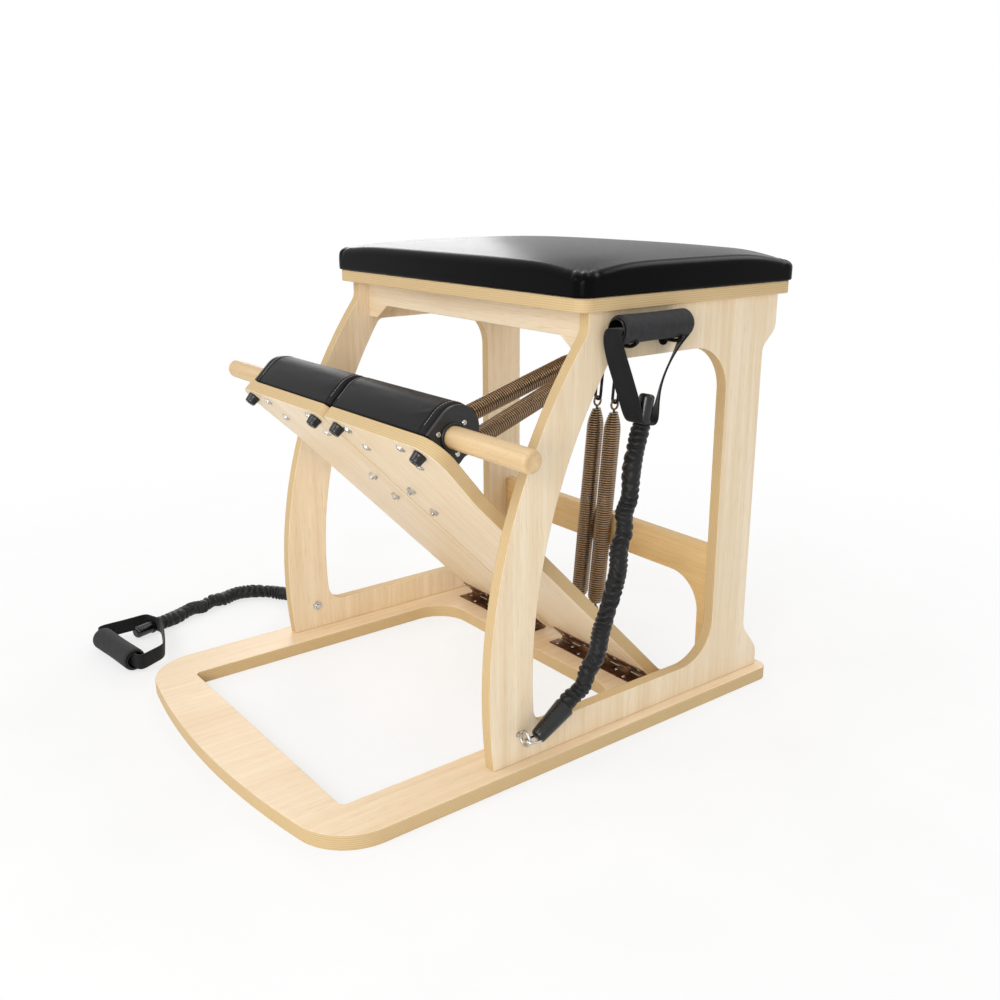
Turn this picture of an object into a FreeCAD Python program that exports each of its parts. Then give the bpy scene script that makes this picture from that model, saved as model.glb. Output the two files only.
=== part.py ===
"""Split-pedal pilates chair in millimetres: X across, front at -Y, floor at Z = 0."""
import FreeCAD, Part
import math
import os

V = FreeCAD.Vector

# Base board
BASE_WIDTH = 591.0
BASE_LENGTH = 791.0
BASE_THICKNESS = 20.0
BASE_SIDE_RAIL = 71.5
BASE_FRONT_RAIL = 80.5
BASE_BOW_RADIUS = 1281.0
BASE_FRONT_CORNER = 80.0
BASE_REAR_CORNER = 18.0
BASE_WINDOW_LENGTH = 464.0
BASE_WINDOW_FRONT_CORNER = 8.0
BASE_WINDOW_REAR_CORNER = 55.0
CROSSBAR_DEPTH = 101.0
NOTCH_FRONT_CORNER = 40.0
NOTCH_REAR_CORNER = 10.0

# Side panels
PANEL_SPREAD = 558.0
PANEL_THICKNESS = 17.0
PANEL_HEIGHT = 567.0
PANEL_FRONT_RADIUS = 733.9
PANEL_BULGE_INSET = 527.9
PANEL_BULGE_HEIGHT = 93.8
PANEL_TOP_FRONT_INSET = 375.5
PANEL_NECK_RADIUS = 25.0
PANEL_TOP_REAR_INSET = 21.5
PANEL_REAR_INSET = 47.0
PANEL_FOOT_INSET = 14.0
PANEL_SHOULDER_DROP = 49.0
PANEL_SHOULDER_FALL = 24.0
PANEL_SHOULDER_RADIUS = 20.0
PANEL_FOOT_HEIGHT = 29.0
PANEL_FOOT_FALL = 42.0
PANEL_FOOT_RADIUS = 34.0

# Side windows
WINDOW_TOP_RAIL = 62.0
WINDOW_BOTTOM_RAIL = 42.0
WINDOW_REAR_POST = 73.0
WINDOW_FRONT_POST = 69.6
WINDOW_FRONT_RADIUS = 702.0
WINDOW_BULGE_HEIGHT = 113.0
WINDOW_TOP_REAR_CORNER = 64.0
WINDOW_LOW_REAR_CORNER = 60.0
WINDOW_LOW_FRONT_CORNER = 27.0
WINDOW_TOP_FRONT_CORNER = 15.0

# Boards between the panels
APRON_SETBACK = 17.0
APRON_THICKNESS = 17.0
APRON_HEIGHT = 57.0
APRON_RISE = 20.5
APRON_TAB = 26.0
APRON_SLOPE_RUN = 29.0
REAR_BOARD_INSET = 62.5
REAR_BOARD_THICKNESS = 17.0
REAR_BOARD_HEIGHT = 192.0
REAR_BEAM_HEIGHT = 56.0
REAR_LEG_WIDTH = 49.0
REAR_ARCH_CORNER = 55.0
TOP_RAIL_HEIGHT = 58.0

# Seat
SEAT_WIDTH = 580.0
SEAT_DEPTH = 393.0
SEAT_REAR_INSET = 3.0
SEAT_THICKNESS = 17.0
SEAT_CORNER = 18.0
CUSHION_HEIGHT = 41.0
CUSHION_PROUD = 3.0
CUSHION_CORNER = 24.0
CUSHION_DRAWN_IN = 1.5
CUSHION_LEVEL_SHARES = (0.0, 0.12, 0.35, 0.62, 0.78, 0.88, 0.94, 0.98, 1.0)
CUSHION_INSETS = (3.0, 1.0, 0.0, 0.5, 3.0, 7.0, 14.0, 50.0, 120.0)

# Pedals
HINGE_INSET = 184.0
HINGE_RISE = 4.2
PEDAL_THICKNESS = 17.0
PEDAL_START = 5.0
PEDAL_LENGTH = 587.0
PEDAL_HALF_WIDTH = 233.0
PEDAL_SPLIT = 4.0
PEDAL_HEAD_WIDEN = 20.0
PEDAL_HEAD_LENGTH = 38.0
PEDAL_FLARE_LENGTH = 80.0
PEDAL_FLARE_RADIUS = 60.0
PEDAL_OUTER_CORNER = 30.0
PEDAL_INNER_CORNER = 13.0
PEDAL_REAR_CORNER = 3.0

# Pads and lock rod
PAD_CENTRE = 554.0
PAD_HALF_WIDTH = 33.0
PAD_HEIGHT = 68.0
PAD_END = 225.0
PAD_SPLIT_SETBACK = 0.6
FLANGE_THICKNESS = 5.0
FLANGE_INSET = 3.0
FLANGE_SCREW_RING = 22.0
FLANGE_SCREW_RADIUS = 3.6
FLANGE_SCREW_HEIGHT = 2.2
FLANGE_SCREW_TURNS = (90.0, 210.0, 330.0)
ROD_RADIUS = 14.0
ROD_LENGTH = 756.0
ROD_ROUND = 5.0
ROD_HEIGHT = 24.0
ROD_FIT = 0.08
ROD_PAD_FIT = 0.6

# Pedal underside pieces
BUMPER_SPOTS = (31.0, 222.0)
BUMPER_STATION = 571.0
BUMPER_HEIGHT = 13.0
BUMPER_RADIUS = 9.2
BUMPER_TIP_RADIUS = 7.5
BUMPER_SOCKET_RADIUS = 3.0
BUMPER_SOCKET_DEPTH = 5.0
PAD_BOLT_SPOTS = (53.0, 178.0)
PAD_BOLT_FRONT_STATION = 570.0
PAD_BOLT_REAR_STATION = 532.0
BOLT_RADIUS = 3.0
BOLT_FIT = 0.2
BOLT_HEAD_RADIUS = 7.0
BOLT_HEAD_HEIGHT = 3.0

# Spring eyes
EYE_SPOT = 50.0
EYE_STATION = 432.0
EYE_SPACING = 52.0
EYE_RING_RADIUS = 16.0
EYE_WIRE = 2.75
EYE_CENTRE_HEIGHT = 20.0
EYE_BOLT_RADIUS = 3.0
NUT_RADIUS = 7.0
NUT_HEIGHT = 5.0
EYE_TAIL = 8.0
ANCHOR_SPOT = 20.0
ANCHOR_DROP = 103.0
ANCHOR_RING_RADIUS = 14.75
ANCHOR_COLLAR_RADIUS = 8.0
ANCHOR_COLLAR_HEIGHT = 3.0

# Piano hinges
HINGE_START = 24.0
HINGE_LENGTH = 202.0
HINGE_KNUCKLES = 9
KNUCKLE_RADIUS = 3.0
KNUCKLE_GAP = 0.4
LEAF_THICKNESS = 1.5
LEAF_WIDTH = 30.0
LEAF_RELIEF = 4.0
PIN_RADIUS = 1.5
PIN_FIT = 0.05

# Springs
SPRING_RADIUS = 14.0
SPRING_WIRE = 1.7
SPRING_BODY = 322.0
SPRING_TURNS = 15
SPRING_TAPER_TURNS = 2
SPRING_NECK_RADIUS = 5.0
WIRE_SIDES = 4
HOOK_WIRE = 1.75
HOOK_HALF_WIDTH = 7.0
HOOK_NECK = 5.0
HOOK_LENGTH = 33.44
SPARE_HOOK_LENGTH = 15.0
HOOK_SHANK = 2.2
HOOK_HEAD_RADIUS = 7.0
HOOK_HEAD_LENGTH = 7.0
HOOK_HEAD_DEPTH = 32.0
TOP_BEND_SETBACK = 9.6
HANGER_BEND_SETBACK = 9.2
HANGER_LENGTH = 77.5
HANGER_HALF_WIDTH = 6.0
HANGER_WIRE = 2.4
LEAN_GAP = 0.4

# Resistance bands
BAND_EYE_INSET = 481.5
BAND_EYE_HEIGHT = 60.0
BAND_EYE_RADIUS = 9.0
BAND_EYE_WIRE = 2.2
BAND_EYE_STANDOFF = 4.0
BAND_RADIUS = 12.5
BAND_CAP_RADIUS = 13.5
BAND_CAP_LENGTH = 55.0
BAND_CAP_ROUND = 4.0
FERRULE_RADIUS = 10.0
FERRULE_LENGTH = 35.5
FERRULE_ROUND = 5.0
FERRULE_LIP_RADIUS = 11.5
FERRULE_LIP = 4.0
BAIL_WIRE = 1.6
BAIL_HALF_WIDTH = 6.8
RIGHT_BAIL_DRAW = 2.7
BAIL_SINK = 6.0
BAIL_FIT = 0.3
CORD_CUT_SHARE = 0.45
RIGHT_BAND_X = 298.0
RIGHT_BAND_ROUTE = ((-25.0, 88.0), (2.0, 106.0), (20.0, 131.0), (35.0, 166.0), (49.5, 210.0),
                    (60.5, 256.0), (68.5, 302.0), (76.0, 350.0), (85.5, 398.0), (96.0, 444.0))
LEFT_BAND_ROUTE = ((-358.0, -58.0, 36.0), (-384.0, -45.3, 27.0), (-412.8, -41.3, 19.0),
                   (-441.4, -46.3, 14.0), (-467.0, -59.9, 12.8), (-487.1, -80.8, 12.8),
                   (-499.8, -106.9, 12.8), (-503.9, -135.6, 12.8), (-498.9, -164.2, 12.8),
                   (-486.2, -208.4, 12.8), (-472.8, -252.4, 12.8), (-457.8, -295.9, 12.8))

# Handles
GRIP_RADIUS = 18.0
GRIP_CORE_RADIUS = 14.0
GRIP_CORE_BORE = 12.9
GRIP_FIT = 0.3
GRIP_LENGTH = 116.0
CORE_LENGTH = 122.0
STRAP_WIDTH = 25.0
STRAP_THICKNESS = 2.5
STRAP_FOOT_SPREAD = 16.0
STRAP_FOOT_BEND = 5.0
STRAP_OVERHANG = 13.5
STRAP_BEND = 7.0
RIGHT_GRIP_CENTRE = (298.0, 108.0, 565.0)
LEFT_GRIP_CENTRE = (-388.8, -378.0, 18.3)
LEFT_GRIP_TURN = 6.5
LEFT_STRAP_BULGE = (-345.0, -318.0)
LEFT_STRAP_BEND = 24.0
HANDLE_HOOK_SPACING = 40.0
HANDLE_HOOK_WIRE = 2.5
HANDLE_HOOK_GAP = 0.4
HANDLE_HOOK_PLATE = 8.0
HANDLE_HOOK_PLATE_THICKNESS = 2.0
HANDLE_HOOK_SWEEP = 48.0

# Overrun of every cutting tool past the faces it cuts
OVERRUN = 5.0

# Derived places
HALF_LENGTH = BASE_LENGTH / 2
SEAT_UNDERSIDE = BASE_THICKNESS + PANEL_HEIGHT
PANEL_OUTER = PANEL_SPREAD / 2
PANEL_INNER = PANEL_OUTER - PANEL_THICKNESS
HINGE = V(0, HALF_LENGTH - HINGE_INSET, BASE_THICKNESS + HINGE_RISE)
REAR_BOARD_FRONT = HALF_LENGTH - REAR_BOARD_INSET - REAR_BOARD_THICKNESS
ANCHOR = V(0, REAR_BOARD_FRONT + REAR_BOARD_THICKNESS / 2, SEAT_UNDERSIDE - ANCHOR_DROP)
BAND_EYE_Y = HALF_LENGTH - BAND_EYE_INSET


# Outline helpers
def on_floor(p):
    return V(p.x, p.y, 0)


def on_side(p):
    return V(0, p.x, p.y)


def on_front(p):
    return V(p.x, 0, p.y)


def across_floor(p):
    return V(p.y, p.x, 0)


def unit(vector):
    return vector * (1 / vector.Length)


def rounded_path(corners, place, closed=True):
    """Edges through (a, b, radius) corners, each corner rounded by a tangent arc."""
    count = len(corners)
    spots = [V(a, b, 0) for a, b, radius in corners]
    stops = []
    for i, here in enumerate(spots):
        radius = corners[i][2]
        if radius == 0:
            stops.append((here, None, here))
            continue
        back = unit(spots[i - 1] - here)
        ahead = unit(spots[(i + 1) % count] - here)
        half = back.getAngle(ahead) / 2
        cut = radius / math.tan(half)
        crown = here + unit(back + ahead) * (radius / math.sin(half) - radius)
        stops.append((here + back * cut, crown, here + ahead * cut))
    edges = []
    for i, (start, crown, end) in enumerate(stops):
        if crown:
            edges.append(Part.Arc(place(start), place(crown), place(end)).toShape())
        if closed or i < count - 1:
            edges.append(Part.makeLine(place(end), place(stops[(i + 1) % count][0])))
    return edges


def prism(edges, along):
    return Part.Face(Part.Wire(edges)).extrude(along)


def inner_fillet(centre, big, line, radius, sense):
    """Arc inside a forward-bulging circle that meets the line b = line: on line, crown, on circle."""
    b = line - sense * radius
    a = centre.x - math.sqrt((big - radius) ** 2 - (b - centre.y) ** 2)
    middle = V(a, b, 0)
    away = unit(middle - centre)
    crown = middle + unit(away + V(0, sense, 0)) * radius
    return V(a, line, 0), crown, centre + away * big


def front_of(centre, big, level):
    return centre.x - math.sqrt(big ** 2 - (level - centre.y) ** 2)


def box(x0, x1, y0, y1, z0, z1):
    return Part.makeBox(x1 - x0, y1 - y0, z1 - z0, V(x0, y0, z0))


def across(radius, x0, x1, y, z):
    return Part.makeCylinder(radius, x1 - x0, V(x0, y, z), V(1, 0, 0))


def upright(radius, x, y, z0, z1):
    return Part.makeCylinder(radius, z1 - z0, V(x, y, z0))


def mirrored(shape):
    return shape.mirror(V(0, 0, 0), V(1, 0, 0))


def rest_pitch():
    """Degrees that the pedal stands up when the hooked spring, at its free length, holds it."""
    span = TOP_BEND_SETBACK + SPRING_BODY + 2 * (HOOK_LENGTH + HOOK_NECK)
    reach = span ** 2 - (EYE_SPOT - ANCHOR_SPOT) ** 2
    post = ANCHOR - HINGE
    arm = V(0, -EYE_STATION, PEDAL_THICKNESS + EYE_CENTRE_HEIGHT)
    spread = math.acos((post.dot(post) + arm.dot(arm) - reach) / (2 * post.Length * arm.Length))
    return math.degrees(math.atan2(post.z, -post.y) - math.atan2(arm.z, -arm.y) - spread)


def on_pedal(shape):
    """Turn a shape built on a level pedal, hinge line at the origin, up to the rest pitch."""
    turned = shape.copy()
    turned.rotate(V(0, 0, 0), V(1, 0, 0), -rest_pitch())
    turned.translate(HINGE)
    return turned


def pedal_point(x, station, height):
    """A point given along and above the level pedal's upper face."""
    return on_pedal(Part.Vertex(x, -station, PEDAL_THICKNESS + height)).Point


def hex_nut(radius, height, bore, foot, along):
    nut = prism(Part.makePolygon(ring_points(radius, 6)).Edges, V(0, 0, height))
    nut = nut.cut(upright(bore, 0, 0, -OVERRUN, height + OVERRUN))
    nut.Placement = FreeCAD.Placement(foot, FreeCAD.Rotation(V(0, 0, 1), along))
    return nut


def ring_points(radius, count):
    turns = [2 * math.pi * i / count for i in range(count + 1)]
    return [V(radius * math.cos(t), radius * math.sin(t), 0) for t in turns]


# Frame boards
def base_board():
    half = BASE_WIDTH / 2
    inner = half - BASE_SIDE_RAIL
    bow = V(BASE_BOW_RADIUS - HALF_LENGTH, 0, 0)
    notch = BASE_FRONT_RAIL + BASE_WINDOW_LENGTH + CROSSBAR_DEPTH - HALF_LENGTH
    right = inner_fillet(bow, BASE_BOW_RADIUS, half, BASE_FRONT_CORNER, 1)
    left = inner_fillet(bow, BASE_BOW_RADIUS, -half, BASE_FRONT_CORNER, -1)
    rear = [(right[0].x, half, 0), (HALF_LENGTH, half, BASE_REAR_CORNER),
            (HALF_LENGTH, inner, NOTCH_REAR_CORNER), (notch, inner, NOTCH_FRONT_CORNER),
            (notch, -inner, NOTCH_FRONT_CORNER), (HALF_LENGTH, -inner, NOTCH_REAR_CORNER),
            (HALF_LENGTH, -half, BASE_REAR_CORNER), (left[0].x, -half, 0)]
    edges = rounded_path(rear, across_floor, closed=False)
    edges.append(Part.Arc(*[across_floor(p) for p in left]).toShape())
    apex = V(-HALF_LENGTH, 0, 0)
    edges.append(Part.Arc(*[across_floor(p) for p in (left[2], apex, right[2])]).toShape())
    edges.append(Part.Arc(*[across_floor(p) for p in right[::-1]]).toShape())
    board = prism(edges, V(0, 0, BASE_THICKNESS))
    front = BASE_FRONT_RAIL - HALF_LENGTH
    back = front + BASE_WINDOW_LENGTH
    window = [(inner, front, BASE_WINDOW_FRONT_CORNER), (inner, back, BASE_WINDOW_REAR_CORNER),
              (-inner, back, BASE_WINDOW_REAR_CORNER), (-inner, front, BASE_WINDOW_FRONT_CORNER)]
    tool = prism(rounded_path(window, on_floor), V(0, 0, BASE_THICKNESS + 2 * OVERRUN))
    tool.translate(V(0, 0, -OVERRUN))
    return board.cut(tool)


def panel_outline():
    """Ogee rear edge, level top and forward-bulging front edge of a side panel."""
    centre = V(HALF_LENGTH - PANEL_BULGE_INSET + PANEL_FRONT_RADIUS, BASE_THICKNESS + PANEL_BULGE_HEIGHT, 0)
    foot = HALF_LENGTH - PANEL_FOOT_INSET
    rear = HALF_LENGTH - PANEL_REAR_INSET
    top = HALF_LENGTH - PANEL_TOP_REAR_INSET
    front = HALF_LENGTH - PANEL_TOP_FRONT_INSET
    foot_top = BASE_THICKNESS + PANEL_FOOT_HEIGHT
    shoulder = SEAT_UNDERSIDE - PANEL_SHOULDER_DROP
    reach = PANEL_FRONT_RADIUS + PANEL_NECK_RADIUS
    neck = V(front - PANEL_NECK_RADIUS, 0, 0)
    neck.y = centre.y + math.sqrt(reach ** 2 - (centre.x - neck.x) ** 2)
    toward = unit(centre - neck)
    meet = neck + toward * PANEL_NECK_RADIUS
    neck_crown = neck + unit(toward + V(1, 0, 0)) * PANEL_NECK_RADIUS
    toe = V(front_of(centre, PANEL_FRONT_RADIUS, BASE_THICKNESS), BASE_THICKNESS, 0)
    bulge = V(HALF_LENGTH - PANEL_BULGE_INSET, centre.y, 0)
    path = [(toe.x, toe.y, 0), (foot, BASE_THICKNESS, 0), (foot, foot_top, PANEL_FOOT_RADIUS),
            (rear, foot_top + PANEL_FOOT_FALL, PANEL_FOOT_RADIUS),
            (rear, shoulder - PANEL_SHOULDER_FALL, PANEL_SHOULDER_RADIUS),
            (top, shoulder, PANEL_SHOULDER_RADIUS), (top, SEAT_UNDERSIDE, 0),
            (front, SEAT_UNDERSIDE, 0), (front, neck.y, 0)]
    edges = rounded_path(path, on_side, closed=False)
    edges.append(Part.Arc(on_side(V(front, neck.y, 0)), on_side(neck_crown), on_side(meet)).toShape())
    edges.append(Part.Arc(on_side(meet), on_side(bulge), on_side(toe)).toShape())
    return edges


def panel_window():
    bulge = HALF_LENGTH - PANEL_BULGE_INSET + WINDOW_FRONT_POST
    centre = V(bulge + WINDOW_FRONT_RADIUS, BASE_THICKNESS + WINDOW_BULGE_HEIGHT, 0)
    top = SEAT_UNDERSIDE - WINDOW_TOP_RAIL
    low = BASE_THICKNESS + WINDOW_BOTTOM_RAIL
    rear = HALF_LENGTH - PANEL_REAR_INSET - WINDOW_REAR_POST
    high = inner_fillet(centre, WINDOW_FRONT_RADIUS, top, WINDOW_TOP_FRONT_CORNER, 1)
    deep = inner_fillet(centre, WINDOW_FRONT_RADIUS, low, WINDOW_LOW_FRONT_CORNER, -1)
    path = [(high[0].x, top, 0), (rear, top, WINDOW_TOP_REAR_CORNER),
            (rear, low, WINDOW_LOW_REAR_CORNER), (deep[0].x, low, 0)]
    edges = rounded_path(path, on_side, closed=False)
    edges.append(Part.Arc(*[on_side(p) for p in deep]).toShape())
    edges.append(Part.Arc(on_side(deep[2]), on_side(V(bulge, centre.y, 0)), on_side(high[2])).toShape())
    edges.append(Part.Arc(*[on_side(p) for p in high[::-1]]).toShape())
    return edges


def side_panel():
    panel = prism(panel_outline(), V(PANEL_THICKNESS, 0, 0))
    tool = prism(panel_window(), V(PANEL_THICKNESS + 2 * OVERRUN, 0, 0))
    tool.translate(V(-OVERRUN, 0, 0))
    panel = panel.cut(tool)
    panel.translate(V(PANEL_INNER, 0, 0))
    bore = across(BOLT_RADIUS + BOLT_FIT, PANEL_INNER - OVERRUN, PANEL_OUTER + OVERRUN, BAND_EYE_Y, BAND_EYE_HEIGHT)
    return panel.cut(bore)


def front_apron():
    top = SEAT_UNDERSIDE
    low = top - APRON_HEIGHT
    raised = low + APRON_RISE
    tab = PANEL_INNER - APRON_TAB
    slope = tab - APRON_SLOPE_RUN
    outline = [(PANEL_INNER, top, 0), (PANEL_INNER, low, 0), (tab, low, 0), (slope, raised, 0),
               (-slope, raised, 0), (-tab, low, 0), (-PANEL_INNER, low, 0), (-PANEL_INNER, top, 0)]
    apron = prism(rounded_path(outline, on_front), V(0, APRON_THICKNESS, 0))
    apron.translate(V(0, HALF_LENGTH - PANEL_TOP_FRONT_INSET + APRON_SETBACK, 0))
    return apron


def rear_board():
    top = BASE_THICKNESS + REAR_BOARD_HEIGHT
    under = top - REAR_BEAM_HEIGHT
    leg = PANEL_INNER - REAR_LEG_WIDTH
    outline = [(PANEL_INNER, top, 0), (PANEL_INNER, BASE_THICKNESS, 0), (leg, BASE_THICKNESS, 0),
               (leg, under, REAR_ARCH_CORNER), (-leg, under, REAR_ARCH_CORNER), (-leg, BASE_THICKNESS, 0),
               (-PANEL_INNER, BASE_THICKNESS, 0), (-PANEL_INNER, top, 0)]
    board = prism(rounded_path(outline, on_front), V(0, REAR_BOARD_THICKNESS, 0))
    board.translate(V(0, REAR_BOARD_FRONT, 0))
    return board


def rear_top_rail():
    low = SEAT_UNDERSIDE - TOP_RAIL_HEIGHT
    back = REAR_BOARD_FRONT + REAR_BOARD_THICKNESS
    return box(-PANEL_INNER, PANEL_INNER, REAR_BOARD_FRONT, back, low, SEAT_UNDERSIDE)


# Seat
def seat_board():
    half = SEAT_WIDTH / 2
    back = HALF_LENGTH - SEAT_REAR_INSET
    front = back - SEAT_DEPTH
    outline = [(half, front, SEAT_CORNER), (half, back, SEAT_CORNER),
               (-half, back, SEAT_CORNER), (-half, front, SEAT_CORNER)]
    board = prism(rounded_path(outline, on_floor), V(0, 0, SEAT_THICKNESS))
    board.translate(V(0, 0, SEAT_UNDERSIDE))
    return board


def cushion_ring(inset, level):
    """Plan outline of the cushion at one level, its sides drawn in between the corners."""
    half = SEAT_WIDTH / 2 + CUSHION_PROUD - inset
    deep = SEAT_DEPTH / 2 + CUSHION_PROUD - inset
    middle = HALF_LENGTH - SEAT_REAR_INSET - SEAT_DEPTH / 2
    turn = CUSHION_CORNER
    bend = turn * math.sqrt(0.5)
    waist = CUSHION_DRAWN_IN
    edges = []
    for sx, sy in ((1, 1), (-1, 1), (-1, -1), (1, -1)):
        hub = V(sx * (half - turn), middle + sy * (deep - turn), level)
        side = hub + V(sx * turn, 0, 0)
        end = hub + V(0, sy * turn, 0)
        crown = hub + V(sx * bend, sy * bend, 0)
        first, last = (side, end) if sx * sy > 0 else (end, side)
        edges.append(Part.Arc(first, crown, last).toShape())
        if sx * sy > 0:
            dip = V(0, middle + sy * (deep - waist), level)
            far = V(-last.x, last.y, level)
        else:
            dip = V(sx * (half - waist), middle, level)
            far = V(last.x, 2 * middle - last.y, level)
        edges.append(Part.Arc(last, dip, far).toShape())
    return Part.Wire(edges)


def seat_cushion():
    base = SEAT_UNDERSIDE + SEAT_THICKNESS
    rings = []
    for share, inset in zip(CUSHION_LEVEL_SHARES, CUSHION_INSETS):
        rings.append(cushion_ring(inset, base + CUSHION_HEIGHT * share))
    return Part.makeLoft(rings, True, True)


# Pedal pieces, built level for the +X pedal and turned up
def pedal_board():
    inner = PEDAL_SPLIT / 2
    outer = PEDAL_HALF_WIDTH
    wide = outer + PEDAL_HEAD_WIDEN
    head = PEDAL_LENGTH - PEDAL_HEAD_LENGTH
    outline = [(inner, -PEDAL_START, PEDAL_REAR_CORNER), (inner, -PEDAL_LENGTH, PEDAL_INNER_CORNER),
               (wide, -PEDAL_LENGTH, PEDAL_OUTER_CORNER), (wide, -head, 0),
               (outer, PEDAL_FLARE_LENGTH - head, PEDAL_FLARE_RADIUS), (outer, -PEDAL_START, PEDAL_REAR_CORNER)]
    board = prism(rounded_path(outline, on_floor), V(0, 0, PEDAL_THICKNESS))
    for station in (EYE_STATION, EYE_STATION - EYE_SPACING):
        board = board.cut(board_bore(EYE_SPOT, station))
    for spot in PAD_BOLT_SPOTS:
        for station in (PAD_BOLT_FRONT_STATION, PAD_BOLT_REAR_STATION):
            board = board.cut(board_bore(spot, station))
    return on_pedal(board)


def board_bore(x, station):
    return upright(BOLT_RADIUS + BOLT_FIT, x, -station, -OVERRUN, PEDAL_THICKNESS + OVERRUN)


def pad_profile(inset, x):
    """D outline of the pad seen along the rod, drawn in by an inset on its dome and sides."""
    half = PAD_HALF_WIDTH - inset
    spring = PEDAL_THICKNESS + PAD_HEIGHT - PAD_HALF_WIDTH
    foot = PEDAL_THICKNESS + inset
    front = -PAD_CENTRE - half
    back = -PAD_CENTRE + half
    edges = [Part.makeLine(V(x, back, foot), V(x, front, foot)),
             Part.makeLine(V(x, front, foot), V(x, front, spring))]
    lean = half * math.sqrt(0.5)
    peak = V(x, -PAD_CENTRE, spring + half)
    fore = V(x, -PAD_CENTRE - lean, spring + lean)
    aft = V(x, -PAD_CENTRE + lean, spring + lean)
    edges.append(Part.Arc(V(x, front, spring), fore, peak).toShape())
    edges.append(Part.Arc(peak, aft, V(x, back, spring)).toShape())
    edges.append(Part.makeLine(V(x, back, spring), V(x, back, foot)))
    return edges


def rod_bore(fit, x0, x1):
    return across(ROD_RADIUS + fit, x0 - OVERRUN, x1 + OVERRUN, -PAD_CENTRE, PEDAL_THICKNESS + ROD_HEIGHT)


def pedal_pad():
    inner = PEDAL_SPLIT / 2 + PAD_SPLIT_SETBACK
    pad = prism(pad_profile(0, inner), V(PAD_END - inner, 0, 0))
    return on_pedal(pad.cut(rod_bore(ROD_PAD_FIT, inner, PAD_END)))


def pad_flange():
    flange = prism(pad_profile(FLANGE_INSET, PAD_END), V(FLANGE_THICKNESS, 0, 0))
    return on_pedal(flange.cut(rod_bore(ROD_FIT, PAD_END, PAD_END + FLANGE_THICKNESS)))


def flange_screws():
    face = PAD_END + FLANGE_THICKNESS
    heads = []
    for turn in FLANGE_SCREW_TURNS:
        y = -PAD_CENTRE - FLANGE_SCREW_RING * math.cos(math.radians(turn))
        z = PEDAL_THICKNESS + ROD_HEIGHT + FLANGE_SCREW_RING * math.sin(math.radians(turn))
        heads.append(across(FLANGE_SCREW_RADIUS, face, face + FLANGE_SCREW_HEIGHT, y, z))
    return on_pedal(Part.makeCompound(heads))


def rubber_bumpers():
    bumpers = []
    for spot in BUMPER_SPOTS:
        foot = V(spot, -BUMPER_STATION, 0)
        body = Part.makeCone(BUMPER_RADIUS, BUMPER_TIP_RADIUS, BUMPER_HEIGHT, foot, V(0, 0, -1))
        depth = BUMPER_SOCKET_DEPTH - BUMPER_HEIGHT
        socket = upright(BUMPER_SOCKET_RADIUS, spot, -BUMPER_STATION, -BUMPER_HEIGHT - OVERRUN, depth)
        bumpers.append(body.cut(socket))
    return on_pedal(Part.makeCompound(bumpers))


def pad_bolts():
    bolts = []
    for spot in PAD_BOLT_SPOTS:
        for station in (PAD_BOLT_FRONT_STATION, PAD_BOLT_REAR_STATION):
            head = upright(BOLT_HEAD_RADIUS, spot, -station, -BOLT_HEAD_HEIGHT, 0)
            bolts.append(head.fuse(upright(BOLT_RADIUS, spot, -station, 0, PEDAL_THICKNESS)))
    return on_pedal(Part.makeCompound(bolts))


def spring_eye_bolts():
    """Two eye bolts through the board, each with its nut under the board."""
    pieces = []
    for station in (EYE_STATION, EYE_STATION - EYE_SPACING):
        centre = V(EYE_SPOT, -station, PEDAL_THICKNESS + EYE_CENTRE_HEIGHT)
        ring = Part.makeTorus(EYE_RING_RADIUS, EYE_WIRE, centre, V(1, 0, 0))
        shank = upright(EYE_BOLT_RADIUS, EYE_SPOT, -station, -EYE_TAIL, centre.z - EYE_RING_RADIUS)
        pieces.append(ring.fuse(shank))
        pieces.append(hex_nut(NUT_RADIUS, NUT_HEIGHT, BOLT_RADIUS + BOLT_FIT, V(EYE_SPOT, -station, 0), V(0, 0, -1)))
    return on_pedal(Part.makeCompound(pieces))


def lock_rod():
    rod = across(ROD_RADIUS, -ROD_LENGTH / 2, ROD_LENGTH / 2, -PAD_CENTRE, PEDAL_THICKNESS + ROD_HEIGHT)
    rims = [edge for edge in rod.Edges if len(edge.Vertexes) == 1]
    return on_pedal(rod.makeFillet(ROD_ROUND, rims))


# Piano hinges along X, hinge line at the origin
def knuckle_spans(first):
    step = HINGE_LENGTH / HINGE_KNUCKLES
    starts = [HINGE_START + step * i for i in range(first, HINGE_KNUCKLES, 2)]
    return [(start + KNUCKLE_GAP / 2, start + step - KNUCKLE_GAP / 2) for start in starts]


def hinge_leaf(first, low, high):
    """A plate between two levels with its share of the knuckles."""
    end = HINGE_START + HINGE_LENGTH
    leaf = box(HINGE_START, end, -LEAF_WIDTH, -LEAF_RELIEF, low, high)
    for x0, x1 in knuckle_spans(first):
        web = box(x0, x1, -LEAF_RELIEF, 0, low, high)
        riser = box(x0, x1, -KNUCKLE_RADIUS, 0, low, 0)
        leaf = leaf.fuse(web.fuse(riser).fuse(across(KNUCKLE_RADIUS, x0, x1, 0, 0)))
    bore = across(PIN_RADIUS + PIN_FIT, HINGE_START - OVERRUN, end + OVERRUN, 0, 0)
    return leaf.cut(bore).removeSplitter()


def hinge_base_leaf():
    leaf = hinge_leaf(0, -HINGE_RISE, LEAF_THICKNESS - HINGE_RISE)
    leaf.translate(HINGE)
    return leaf


def hinge_pedal_leaf():
    return on_pedal(hinge_leaf(1, -LEAF_THICKNESS, 0))


def hinge_pin():
    return across(PIN_RADIUS, HINGE_START, HINGE_START + HINGE_LENGTH, HINGE.y, HINGE.z)


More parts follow.
